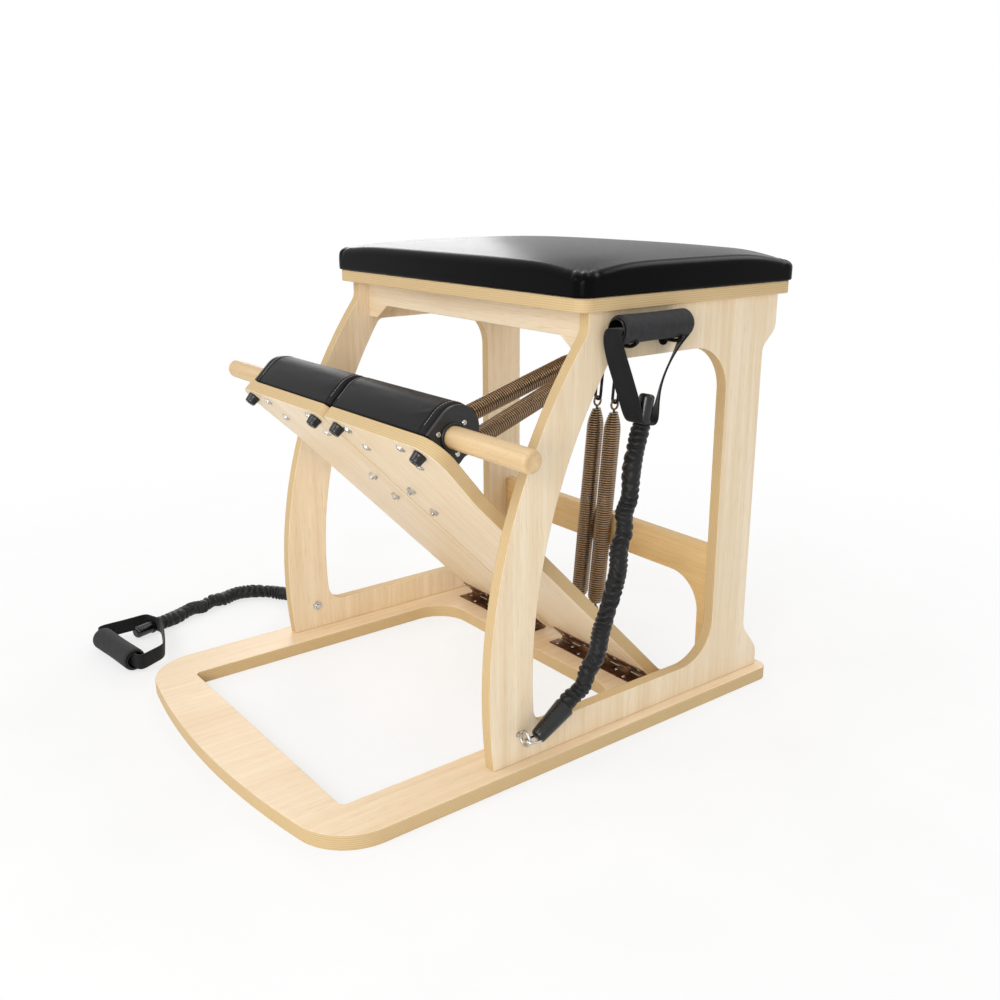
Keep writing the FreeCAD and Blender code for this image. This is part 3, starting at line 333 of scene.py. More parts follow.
def spline_loop(points: np.ndarray, per_span: int) -> np.ndarray:
    """Closed cubic B-spline: each span weighs four neighbouring points by the cubic basis.

    Args:
        points: Control values, one row each.
        per_span: Samples on each span.

    Returns:
        Samples once round the loop.
    """
    t = np.linspace(0, 1, per_span, endpoint=False)
    basis = np.stack([(1 - t) ** 3, 3 * t ** 3 - 6 * t ** 2 + 4,
                      -3 * t ** 3 + 3 * t ** 2 + 3 * t + 1, t ** 3], -1) / 6
    four = np.stack([np.roll(points, -k, axis=0) for k in range(4)], 1)
    return np.einsum("tk,skd->std", basis, four).reshape(-1, points.shape[1])


def gaussian(values: np.ndarray, middle: float, width: float) -> np.ndarray:
    """Bell curve of height 1."""
    return np.exp(-((values - middle) / width) ** 2)


def rounded_ramp(values: np.ndarray) -> np.ndarray:
    """Smooth step from 0 to 1."""
    share = np.clip(values, 0, 1)
    return share * share * (3 - 2 * share)


# Finishes
class Tree:
    """The node tree of a material or a world, with short calls for its nodes and links."""

    def __init__(self, owner: bpy.types.Material | bpy.types.World) -> None:
        """Start on the owner's nodes."""
        owner.use_nodes = True
        self.owner = owner
        self.nodes = owner.node_tree.nodes
        self.links = owner.node_tree.links

    @staticmethod
    def named(name: str) -> "Tree":
        """Tree of a new procedural material of that name."""
        return Tree(bpy.data.materials.new(name))

    @property
    def shader(self) -> bpy.types.Node:
        """The material's main shader."""
        return self.nodes["Principled BSDF"]

    def fill(self, socket: Socket, value: object) -> None:
        """Link a socket, or set its own value."""
        if isinstance(value, Socket):
            self.links.new(value, socket)
        else:
            socket.default_value = value

    def node(self, kind: str, output: str | int = 0, settings: dict | None = None,
             **inputs: object) -> Socket:
        """Add a node.

        Args:
            kind: Node type without its prefix.
            output: Output to return, by name or number.
            settings: The node's own options.
            inputs: Socket values or links, with _ for each space in a name.

        Returns:
            The output socket.
        """
        made = self.nodes.new("ShaderNode" + kind)
        for key, value in (settings or {}).items():
            setattr(made, key, value)
        for key, value in inputs.items():
            self.fill(made.inputs[key.replace("_", " ")], value)
        return made.outputs[output]

    def math(self, operation: str, first: object, second: object = 0.0) -> Socket:
        """Math node of two values."""
        result = self.node("Math", settings={"operation": operation})
        for socket, value in zip(result.node.inputs, (first, second)):
            self.fill(socket, value)
        return result

    def times(self, first: object, second: object) -> Socket:
        """Product of two values."""
        return self.math("MULTIPLY", first, second)

    def plus(self, first: object, second: object) -> Socket:
        """Sum of two values."""
        return self.math("ADD", first, second)

    def mix(self, factor: object, first: object, second: object, blend: str = "MIX") -> Socket:
        """Two colours blended by a factor."""
        made = self.nodes.new("ShaderNodeMix")
        made.data_type, made.blend_type = "RGBA", blend
        for key, value in ((0, factor), (6, first), (7, second)):
            self.fill(made.inputs[key], value)
        return made.outputs[2]

    def ramp(self, factor: Socket, stops: list[tuple[float, Colour]]) -> Socket:
        """Colours along a factor.

        Args:
            factor: Value from 0 to 1.
            stops: Positions and their colours.

        Returns:
            The colour socket.
        """
        result = self.node("ValToRGB", Fac=factor)
        elements = result.node.color_ramp.elements
        for index, (position, colour) in enumerate(stops):
            element = elements[index] if index < 2 else elements.new(position)
            element.position, element.color = position, colour
        return result

    def spread(self, value: Socket, low: float, high: float) -> Socket:
        """A 0 to 1 value spread between two others."""
        return self.node("MapRange", Value=value, To_Min=low, To_Max=high)

    def coords(self, scale: Triple = UNSCALED, pitch: float = 0.0) -> Socket:
        """Object coordinates, turned by a pitch about X and scaled."""
        place = self.node("TexCoord", "Object")
        if pitch:
            place = self.node("Mapping", Vector=place, Rotation=(pitch, 0.0, 0.0))
        return self.node("Mapping", Vector=place, Scale=scale)

    def uv(self, scale: Triple) -> Socket:
        """The piece's own UV lengths, scaled."""
        lengthwise = self.node("UVMap", settings={"uv_map": "surface"})
        return self.node("Mapping", Vector=lengthwise, Scale=scale)

    def noise(self, place: Socket, scale: float = 1.0, detail: float = 3.0,
              roughness: float = 0.5) -> Socket:
        """Fractal noise value at a place."""
        return self.node("TexNoise", "Fac", Vector=place, Scale=scale, Detail=detail,
                         Roughness=roughness)

    def relief(self, height: Socket, distance: float) -> None:
        """Bump of a real height on the shader's normal."""
        bump = self.node("Bump", Strength=1.0, Distance=distance, Height=height)
        self.links.new(bump, self.shader.inputs["Normal"])

    def set(self, **inputs: object) -> None:
        """Set or link the shader's own sockets."""
        for key, value in inputs.items():
            self.fill(self.shader.inputs[key.replace("_", " ")], value)


@dataclass(frozen=True)
class Finish:
    """A procedural material of a name, whose nodes each kind of finish lays out."""

    name: str

    def dress(self, tree: Tree) -> None:
        """Lay out the nodes."""
        raise NotImplementedError

    def build(self) -> bpy.types.Material:
        """Make the material."""
        tree = Tree.named(self.name)
        self.dress(tree)
        return tree.owner


@dataclass(frozen=True)
class BirchFace(Finish):
    """Pale birch veneer: long soft streaks, a broad figure and short pores along one axis.

    The streaks, figure and pores are given as cycles per metre across and along the grain.
    """

    grain: Axis
    pitch: float = 0.0
    pale: Colour = paint(245, 228, 200)
    warm: Colour = paint(229, 205, 168)
    pore: Colour = paint(206, 176, 134)
    streaks: tuple[float, float] = (95.0, 2.6)
    figure: tuple[float, float] = (16.0, 1.3)
    pores: tuple[float, float] = (900.0, 34.0)
    streak_share: float = 0.62
    figure_share: float = 0.38
    depth: float = 0.00012

    def along_grain(self, tree: Tree, cycles: tuple[float, float]) -> Socket:
        """Coordinates that stretch a pattern along the grain."""
        across, along = cycles
        scale = [across] * 3
        scale[self.grain.value] = along
        return tree.coords(tuple(scale), self.pitch)

    def dress(self, tree: Tree) -> None:
        """Lay out the nodes."""
        streak = tree.noise(self.along_grain(tree, self.streaks), detail=6.0, roughness=0.62)
        figure = tree.noise(self.along_grain(tree, self.figure), detail=2.0)
        pores = tree.noise(self.along_grain(tree, self.pores), detail=1.0)
        both = tree.plus(tree.times(streak, self.streak_share),
                         tree.times(figure, self.figure_share))
        wood = tree.ramp(both, [(0.34, self.warm), (0.62, self.pale)])
        flecks = tree.ramp(pores, [(0.3, self.pore), (0.42, WHITE)])
        fleck_share = tree.spread(figure, 0.0, 0.45)
        tree.set(Base_Color=tree.mix(fleck_share, wood, flecks, "MULTIPLY"),
                 Roughness=tree.spread(streak, 0.36, 0.56), Specular_IOR_Level=0.42,
                 Coat_Weight=0.08, Coat_Roughness=0.3)
        tree.relief(tree.plus(streak, tree.times(pores, 0.3)), self.depth)


@dataclass(frozen=True)
class PlyEdge(Finish):
    """Plywood edge: thin veneers stacked through the board, every other one darker end grain."""

    through: Axis
    pitch: float = 0.0
    veneer: float = 0.00142
    pale: Colour = paint(218, 192, 146)
    dark: Colour = paint(200, 170, 122)
    glue: Colour = paint(176, 141, 94)
    wander: float = 0.0006
    fibre: Triple = (700.0, 700.0, 700.0)
    mottle: Triple = (40.0, 40.0, 40.0)
    depth: float = 0.00008

    def dress(self, tree: Tree) -> None:
        """Lay out the nodes."""
        place = tree.coords(pitch=self.pitch)
        wander = tree.times(tree.noise(place, 60.0, 2.0), self.wander)
        inward = tree.node("SeparateXYZ", self.through.value, Vector=place)
        level = tree.times(tree.plus(inward, wander), 1 / self.veneer)
        swing = tree.math("PINGPONG", level, 1.0)
        fibre = tree.noise(tree.coords(self.fibre, self.pitch), detail=2.0)
        mottle = tree.noise(tree.coords(self.mottle, self.pitch), detail=3.0)
        layers = tree.ramp(swing, [(0.0, self.dark), (0.44, self.dark), (0.5, self.glue),
                                   (0.56, self.pale), (1.0, self.pale)])
        worn = tree.mix(tree.spread(mottle, 0.0, 0.55), layers, self.pale)
        tree.set(Base_Color=tree.mix(tree.spread(fibre, 0.0, 0.3), worn, self.dark),
                 Roughness=tree.spread(fibre, 0.5, 0.7), Specular_IOR_Level=0.35)
        tree.relief(tree.plus(fibre, swing), self.depth)


@dataclass(frozen=True)
class RodWood(Finish):
    """Turned beech: straight pale grain along X with short brown flecks."""

    name: str = "beech_rod_finish"
    grain: Triple = (4.0, 130.0, 130.0)
    flecks: Triple = (110.0, 900.0, 900.0)
    warm: Colour = paint(198, 162, 114)
    pale: Colour = paint(220, 192, 148)
    brown: Colour = paint(176, 132, 84)
    clear: Colour = paint(240, 214, 172)
    depth: float = 0.0001

    def dress(self, tree: Tree) -> None:
        """Lay out the nodes."""
        grain = tree.noise(tree.coords(self.grain), detail=5.0, roughness=0.6)
        flecks = tree.noise(tree.coords(self.flecks), detail=1.0)
        wood = tree.ramp(grain, [(0.32, self.warm), (0.68, self.pale)])
        marks = tree.ramp(flecks, [(0.26, self.brown), (0.36, self.clear)])
        tree.set(Base_Color=tree.mix(tree.spread(flecks, 0.35, 0.0), wood, marks),
                 Roughness=tree.spread(grain, 0.36, 0.52), Specular_IOR_Level=0.4)
        tree.relief(grain, self.depth)


@dataclass(frozen=True)
class Vinyl(Finish):
    """Upholstery vinyl: leather-like cells with painted shade darkening the grooves between them,
    soft waves, glossier over stretched edges.
    """

    colour: Colour
    # Painted shade colour in the grooves between the grain's cells
    groove_shade: Colour
    flat_gloss: float
    edge_gloss: float
    cell: float
    depth: float
    shine: float
    wave: float = 220.0
    flat_lift: tuple[float, float] = (0.93, 0.995)

    def dress(self, tree: Tree) -> None:
        """Lay out the nodes."""
        place = tree.coords()
        bent = tree.noise(place, self.wave, 2.0)
        cells = tree.node("TexVoronoi", "Distance", {"feature": "DISTANCE_TO_EDGE"}, Vector=place,
                          Scale=1 / self.cell, Randomness=0.9)
        ridge = tree.ramp(cells, [(0.0, BLACK), (0.16, WHITE)])
        lift = tree.node("VectorMath", "Value", {"operation": "DOT_PRODUCT"})
        tree.links.new(tree.node("NewGeometry", "Normal"), lift.node.inputs[0])
        lift.node.inputs[1].default_value = UPRIGHT.tolist()
        low, high = self.flat_lift
        level = tree.node("MapRange", Value=lift, From_Min=low, From_Max=high,
                          To_Min=self.edge_gloss, To_Max=self.flat_gloss)
        # Painted shade: the grooves round each grain cell take the darker colour
        tree.set(Base_Color=tree.mix(ridge, self.groove_shade, self.colour),
                 Roughness=tree.plus(level, tree.times(bent, 0.08)),
                 Specular_IOR_Level=self.shine)
        height = tree.plus(tree.times(ridge, 0.7), tree.times(bent, 0.6))
        tree.relief(height, self.depth)


@dataclass(frozen=True)
class Metal(Finish):
    """Plated or drawn steel: fine scratches, tarnish patches and worn pale spots."""

    bright: Colour
    tarnish: Colour
    rough: tuple[float, float]
    scratch: float = 0.00003
    patch: float = 90.0
    scratches: Triple = (260.0, 1800.0, 1800.0)

    def dress(self, tree: Tree) -> None:
        """Lay out the nodes."""
        patches = tree.noise(tree.coords(), self.patch, 4.0, 0.6)
        scratches = tree.noise(tree.coords(self.scratches), detail=2.0)
        colour = tree.ramp(patches, [(0.35, self.tarnish), (0.62, self.bright)])
        wear = tree.times(tree.plus(patches, scratches), 0.5)
        tree.set(Base_Color=colour, Metallic=1.0, Roughness=tree.spread(wear, *self.rough))
        tree.relief(scratches, self.scratch)


@dataclass(frozen=True)
class CoiledSteel(Finish):
    """Oil-tempered spring wire: a painted highlight along the outer crest of each turn, painted shade
    on its sides and inner face.
    """

    wire: float
    # Painted highlight colour on each turn's outer crest, then painted shade colour on its sides and
    # inner face
    crest_highlight: Colour
    flank_shade: Colour
    patch: float = 26.0
    uneven: float = 0.22
    grain: float = 500.0
    depth: float = 0.00001

    def dress(self, tree: Tree) -> None:
        """Lay out the nodes."""
        around = tree.node("SeparateXYZ", 0, Vector=tree.uv((1 / self.wire, 1.0, 1.0)))
        outward = tree.times(tree.math("COSINE", around), -1.0)
        patches = tree.noise(tree.coords(), self.patch)
        lift = tree.plus(outward, tree.spread(patches, -self.uneven, self.uneven))
        # Painted highlight on each turn's outer crest and painted shade on its sides and inner face,
        # varied by random patches
        tree.set(Base_Color=tree.ramp(lift, [(0.3, self.flank_shade), (0.92, self.crest_highlight)]), Metallic=1.0,
                 Roughness=tree.spread(patches, 0.3, 0.44))
        tree.relief(tree.noise(tree.coords(), self.grain, 2.0), self.depth)


@dataclass(frozen=True)
class Moulded(Finish):
    """Moulded rubber or plastic: faint mottling towards a dustier tone, and fine grain."""

    colour: Colour
    dust: Colour
    rough: tuple[float, float]
    grain: float
    depth: float
    mottle: float = 130.0

    def dress(self, tree: Tree) -> None:
        """Lay out the nodes."""
        place = tree.coords()
        mottle = tree.noise(place, self.mottle, 4.0, 0.6)
        pits = tree.noise(place, 1 / self.grain, 2.0)
        tree.set(Base_Color=tree.ramp(mottle, [(0.4, self.colour), (0.78, self.dust)]),
                 Roughness=tree.spread(mottle, *self.rough), Specular_IOR_Level=0.5)
        tree.relief(pits, self.depth)


@dataclass(frozen=True)
class Woven(Finish):
    """Woven cloth on UV lengths: warp and weft threads cross, with a painted highlight on the raised
    crowns, broken up by random fuzz.
    """

    thread: float
    slope: float
    colour: Colour
    # Painted highlight colour on the raised thread crowns
    crown: Colour
    depth: float
    rough: tuple[float, float] = (0.62, 0.92)
    shine: float = 0.3
    fuzz: float = 420.0

    def dress(self, tree: Tree) -> None:
        """Lay out the nodes."""
        place = tree.uv((1 / self.thread, 1 / self.thread, 1.0))
        u, v = (tree.node("SeparateXYZ", k, Vector=place) for k in (0, 1))
        lean = tree.times(v, self.slope)
        warp = tree.math("SINE", tree.times(tree.plus(u, lean), math.pi))
        weft = tree.math("SINE", tree.times(v, math.pi))
        cross = tree.times(tree.plus(tree.times(warp, weft), 1.0), 0.5)
        fuzz = tree.noise(tree.coords(), self.fuzz)
        lift = tree.times(cross, tree.spread(fuzz, 0.35, 1.0))
        # Painted highlight: paler where the weave rises, broken up by random fuzz
        tree.set(Base_Color=tree.mix(lift, self.colour, self.crown),
                 Roughness=tree.spread(fuzz, *self.rough), Sheen_Weight=0.15, Sheen_Roughness=0.4,
                 Specular_IOR_Level=self.shine)
        tree.relief(cross, self.depth)


class Finishes:
    """All the chair's materials, built once."""

    def __init__(self) -> None:
        """Build every finish under the name that the pieces ask for."""
        pitch = PEDAL.pitch
        finishes = (
            BirchFace("panel_face", Axis.UP), PlyEdge("panel_edge", Axis.ACROSS),
            BirchFace("base_face", Axis.ALONG, pale=paint(248, 228, 198),
                      warm=paint(234, 206, 168)),
            PlyEdge("base_edge", Axis.UP),
            BirchFace("rail_face", Axis.ACROSS), PlyEdge("rail_edge", Axis.ALONG),
            # The rear board's face is painted darker and more golden than the other faces: painted
            # shade, warmed like bounced light
            BirchFace("rear_face", Axis.ACROSS, pale=paint(238, 208, 156),
                      warm=paint(220, 184, 124)),
            PlyEdge("rear_edge", Axis.ALONG),
            BirchFace("pedal_face", Axis.ALONG, pitch), PlyEdge("pedal_edge", Axis.UP, pitch),
            RodWood(),
            # The second colour of each vinyl is painted shade in its grain's grooves
            Vinyl("seat_vinyl_finish", paint(6, 6, 7), paint(3, 3, 4), flat_gloss=0.26,
                  edge_gloss=0.16, cell=0.0016, depth=0.00003, shine=0.05),
            Vinyl("pad_vinyl_finish", paint(21, 20, 22), paint(11, 11, 12), flat_gloss=0.42,
                  edge_gloss=0.38, cell=0.0013, depth=0.0001, shine=0.14),
            CoiledSteel("spring_coil_finish", Springs.wire, crest_highlight=paint(158, 136, 112),
                        flank_shade=paint(54, 42, 35)),
            Metal("spring_steel_finish", paint(132, 113, 92), paint(100, 82, 66), (0.26, 0.4),
                  scratch=0.00001),
            Metal("hinge_steel_finish", paint(164, 134, 108), paint(112, 86, 68), (0.3, 0.5)),
            Metal("zinc_steel_finish", paint(214, 214, 212), paint(160, 160, 158), (0.18, 0.36)),
            Metal("black_steel_finish", paint(52, 50, 50), paint(26, 25, 25), (0.34, 0.55)),
            Moulded("black_plate_finish", paint(16, 16, 17), paint(34, 34, 35), (0.34, 0.52),
                    grain=0.0012, depth=0.00008),
            Moulded("black_rubber_finish", paint(5, 5, 6), paint(14, 14, 15), (0.2, 0.36),
                    grain=0.0016, depth=0.00006),
            Moulded("cap_plastic_finish", paint(10, 10, 11), paint(22, 22, 24), (0.16, 0.32),
                    grain=0.002, depth=0.00004),
            Moulded("grip_foam_finish", paint(24, 24, 26), paint(46, 46, 49), (0.7, 0.9),
                    grain=0.0011, depth=0.00035),
            Moulded("thread_finish", paint(150, 146, 140), paint(176, 172, 166), (0.6, 0.8),
                    grain=0.0004, depth=0.00003),
            # The second colour of each weave is the painted highlight on its thread crowns
            Woven("band_fabric_finish", 0.0011, 0.35, paint(8, 8, 9), paint(20, 20, 22),
                  depth=0.00008, rough=(0.34, 0.56)),
            Woven("strap_webbing_finish", 0.0016, 1.0, paint(9, 9, 10), paint(20, 20, 22),
                  depth=0.0003),
        )
        self.made = {finish.name: finish.build() for finish in finishes}

    def __getitem__(self, name: str) -> bpy.types.Material:
        """Material of that name."""
        return self.made[name]


def settle(piece: bpy.types.Object, body: str, slot: str,
           *materials: bpy.types.Material) -> bpy.types.Object:
    """Give a new piece its materials and body.

    Args:
        piece: The piece, in place.
        body: Body that it moves with.
        slot: Name of a material slot; not used.
        materials: Its materials in the order of their numbers.

    Returns:
        The same piece.
    """
    for material in materials:
        piece.data.materials.append(material)
    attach(piece, body)
    LOG.info("%s on %s: %d faces", piece.name, body, len(piece.data.polygons))
    return piece


def coat(node: str, material: bpy.types.Material) -> None:
    """Give a kept node its finish."""
    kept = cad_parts[node]
    kept.data.materials.clear()
    kept.data.materials.append(material)
    LOG.info("%s finished", node)


# Camera, light and floor
def posed(name: str, data: bpy.types.Camera | bpy.types.Light, across: np.ndarray,
          above: np.ndarray, back: np.ndarray, place: Triple) -> bpy.types.Object:
    """Linked camera or lamp that faces against its back direction.

    Args:
        name: Name of the object.
        data: The camera or lamp.
        across: Direction of its own X.
        above: Direction of its own Y.
        back: Direction of its own Z.
        place: Where it stands.

    Returns:
        The object.
    """
    turn = np.eye(4)
    turn[:3] = np.stack([across, above, back, place], -1)
    thing = bpy.data.objects.new(name, data)
    thing.matrix_world = Matrix(turn.tolist())
    bpy.context.scene.collection.objects.link(thing)
    return thing


@dataclass(frozen=True)
class Lamp:
    """Square soft lamp: where it hangs, the point that it faces, its side and its watts."""

    name: str
    place: Triple
    aim: Triple
    size: float
    power: float

    def build(self) -> None:
        """Hang the lamp."""
        data = bpy.data.lights.new(self.name, "AREA")
        data.size, data.energy = self.size, self.power
        back = unit(np.array(self.place) - np.array(self.aim))
        right = unit(np.cross(UPRIGHT, back))
        posed(self.name, data, right, np.cross(back, right), back, self.place)


@dataclass
class Studio:
    """White studio: a pale floor, an even sky, four soft lamps and the camera."""

    eye: Triple = (1.2063, -0.8278, 0.7352)
    azimuth: float = 52.44
    elevation: float = 16.95
    roll: float = -0.22
    lens: float = 37.54
    sensor: float = 36.0
    floor_half: float = 30.0
    floor_near: float = 0.6
    floor_far: float = 1.6
    floor_glow: float = 0.7
    sky: float = 0.57
    lamps: tuple[Lamp, ...] = (
        Lamp("key_lamp", (-0.5, -2.4, 2.2), (0.0, 0.0, 0.3), 1.5, 23.0),
        Lamp("side_lamp", (1.6, -1.9, 1.0), (0.28, -0.3, 0.25), 1.0, 24.0),
        Lamp("rear_lamp", (0.4, 2.3, 2.6), (0.0, 0.2, 0.4), 1.4, 26.0),
        Lamp("window_lamp", (-2.76, 1.42, 1.58), (0.0, 0.1, 0.64), 1.3, 20.0),
    )

    def build(self) -> None:
        """Make the camera, floor, sky and lamps."""
        bpy.context.scene.view_settings.view_transform = "Standard"
        self.camera()
        self.floor()
        self.world()
        for lamp in self.lamps:
            lamp.build()

    def camera(self) -> None:
        """Camera at the photograph's place, turned by azimuth, elevation and roll."""
        az, el, roll = (math.radians(v) for v in (self.azimuth, self.elevation, self.roll))
        ahead = np.array([-math.sin(az) * math.cos(el), math.cos(az) * math.cos(el),
                          -math.sin(el)])
        right = np.array([math.cos(az), math.sin(az), 0.0])
        up = np.cross(right, ahead)
        data = bpy.data.cameras.new("photo_camera")
        data.lens, data.sensor_width, data.sensor_fit = self.lens, self.sensor, "HORIZONTAL"
        bpy.context.scene.camera = posed(
            "photo_camera", data, math.cos(roll) * right + math.sin(roll) * up,
            math.cos(roll) * up - math.sin(roll) * right, -ahead, self.eye)

    def seen(self, tree: Tree) -> Socket:
        """1 for what the camera, a gloss or a glass sees, 0 for light on other surfaces."""
        path = tree.node("LightPath").node.outputs
        either = tree.math("MAXIMUM", path["Is Camera Ray"], path["Is Glossy Ray"])
        return tree.math("MAXIMUM", either, path["Is Transmission Ray"])

    def floor(self) -> None:
        """Flat pale floor that shows white and keeps a soft shadow."""
        half = self.floor_half
        mesh = bpy.data.meshes.new("floor")
        mesh.from_pydata([(-half, -half, 0), (half, -half, 0), (half, half, 0), (-half, half, 0)],
                         [], [(0, 1, 2, 3)])
        floor = linked("floor", mesh)
        tree = Tree.named("floor_finish")
        speckle = tree.noise(tree.coords(), 6.0)
        shade = tree.ramp(speckle, [(0.3, paint(240, 240, 240)), (0.7, paint(246, 246, 246))])
        tree.set(Base_Color=shade, Roughness=0.9, Specular_IOR_Level=0.1)
        glow = tree.node("Emission", Strength=1.0)
        blend = tree.node("MixShader")
        away = tree.node("VectorMath", "Value", {"operation": "LENGTH"},
                         Vector=tree.coords((1.0, 1.0, 0.0)))
        fade = tree.node("MapRange", Value=away, From_Min=self.floor_near,
                         From_Max=self.floor_far, To_Min=self.floor_glow)
        share = tree.times(self.seen(tree), fade)
        for socket, value in zip(blend.node.inputs, (share, tree.shader.outputs[0], glow)):
            tree.fill(socket, value)
        tree.links.new(blend, tree.nodes["Material Output"].inputs["Surface"])
        mesh.materials.append(tree.owner)

    def world(self) -> None:
        """Even sky: white where it is seen, a softer level as light."""
        tree = Tree(bpy.data.worlds.new("studio_sky"))
        level = tree.node("MapRange", Value=self.seen(tree), To_Min=self.sky, To_Max=1.0)
        background = tree.nodes["Background"]
        background.inputs["Color"].default_value = WHITE
        tree.links.new(level, background.inputs["Strength"])
        bpy.context.scene.world = tree.owner


# Bands and handles
RIGHT_X = 0.298
RIGHT_ROUTE = tuple((RIGHT_X, *place) for place in (
    (-0.0717, 0.0590), (-0.025, 0.088), (0.002, 0.106), (0.020, 0.131), (0.035, 0.166),
    (0.0495, 0.210), (0.0605, 0.256), (0.0685, 0.302), (0.076, 0.350), (0.0855, 0.398),
    (0.096, 0.444), (0.1036, 0.4771)))
FLOOR_Z = 0.0128
LEFT_ROUTE = (
    (-0.3107, -0.0811, 0.0524), (-0.358, -0.058, 0.036), (-0.384, -0.0453, 0.027),
    (-0.4128, -0.0413, 0.019), (-0.4414, -0.0463, 0.014), (-0.467, -0.0599, FLOOR_Z),
    (-0.4871, -0.0808, FLOOR_Z), (-0.4998, -0.1069, FLOOR_Z), (-0.5039, -0.1356, FLOOR_Z),
    (-0.4989, -0.1642, FLOOR_Z), (-0.4862, -0.2084, FLOOR_Z), (-0.4728, -0.2524, FLOOR_Z),
    (-0.4578, -0.2959, FLOOR_Z), (-0.4467, -0.3280, FLOOR_Z))
# The right webbing's loop: y and z, then the direction of its width
RIGHT_LOOP = (
    (0.108, 0.565, 1.0, 0.0, 0.0), (0.078, 0.565, 1.0, 0.0, 0.0), (0.054, 0.565, 1.0, 0.05, 0.0),
    (0.0440, 0.5665, 0.97, 0.2, 0.05), (0.0410, 0.5570, 0.92, 0.36, 0.1),
    (0.0450, 0.542, 0.84, 0.5, 0.16), (0.0510, 0.527, 0.74, 0.6, 0.2),
    (0.0580, 0.511, 0.66, 0.64, 0.24), (0.0665, 0.491, 0.64, 0.64, 0.26),
    (0.0750, 0.471, 0.70, 0.6, 0.24), (0.0800, 0.4565, 0.88, 0.4, 0.12),
    (0.0835, 0.4470, 1.0, 0.1, 0.0), (0.0963, 0.4452, 1.0, 0.0, 0.0),
    (0.1095, 0.4415, 1.0, -0.1, 0.0), (0.1185, 0.4500, 0.9, -0.35, 0.1),
    (0.1230, 0.468, 0.76, -0.6, 0.12), (0.1265, 0.487, 0.70, -0.66, 0.2),
    (0.1350, 0.506, 0.68, -0.66, 0.26), (0.1475, 0.5245, 0.70, -0.62, 0.3),
    (0.1610, 0.5415, 0.84, -0.44, 0.26), (0.1705, 0.5550, 0.97, -0.16, 0.1),
    (0.1708, 0.5655, 1.0, 0.0, 0.0), (0.160, 0.565, 1.0, 0.0, 0.0), (0.138, 0.565, 1.0, 0.0, 0.0))
# The left webbing's loop: x and y, then the lean of its upright width
LEFT_Z = 0.0183
LEFT_TURN = math.radians(6.5)
LEFT_LOOP = (
    (-0.3888, -0.378, 0.0, 0.0), (-0.420, -0.3816, 0.0, 0.0), (-0.446, -0.3845, 0.0, 0.0),
    (-0.462, -0.3870, 0.05, 0.0), (-0.4705, -0.3800, 0.1, -0.05), (-0.4715, -0.364, 0.12, 0.0),
    (-0.4715, -0.342, 0.14, 0.0), (-0.4725, -0.320, 0.1, 0.0), (-0.4725, -0.3035, 0.0, 0.0),
    (-0.4660, -0.3000, 0.0, 0.0), (-0.4574, -0.2970, 0.0, 0.0), (-0.4480, -0.2935, 0.0, 0.0),
    (-0.437, -0.2905, 0.0, 0.05), (-0.418, -0.2945, 0.0, 0.1), (-0.392, -0.303, 0.0, 0.12),
    (-0.366, -0.3115, 0.0, 0.12), (-0.344, -0.3185, 0.04, 0.08), (-0.333, -0.3275, 0.06, 0.06),
    (-0.326, -0.345, 0.06, 0.0), (-0.3165, -0.3615, 0.0, 0.0), (-0.318, -0.3705, 0.0, 0.0),
    (-0.334, -0.3719, 0.0, 0.0), (-0.360, -0.3747, 0.0, 0.0))
# Radius and height of the end cap's rings, from the hook
CAP_PROFILE = (
    (0.004, 0.0), (0.0078, 0.0002), (0.0094, 0.0012), (0.0102, 0.003), (0.0108, 0.010),
    (0.0116, 0.022), (0.0124, 0.034), (0.0130, 0.044), (0.0134, 0.0505), (0.0136, 0.0525),
    (0.0134, 0.0545), (0.0126, 0.0552), (0.0100, 0.0552))


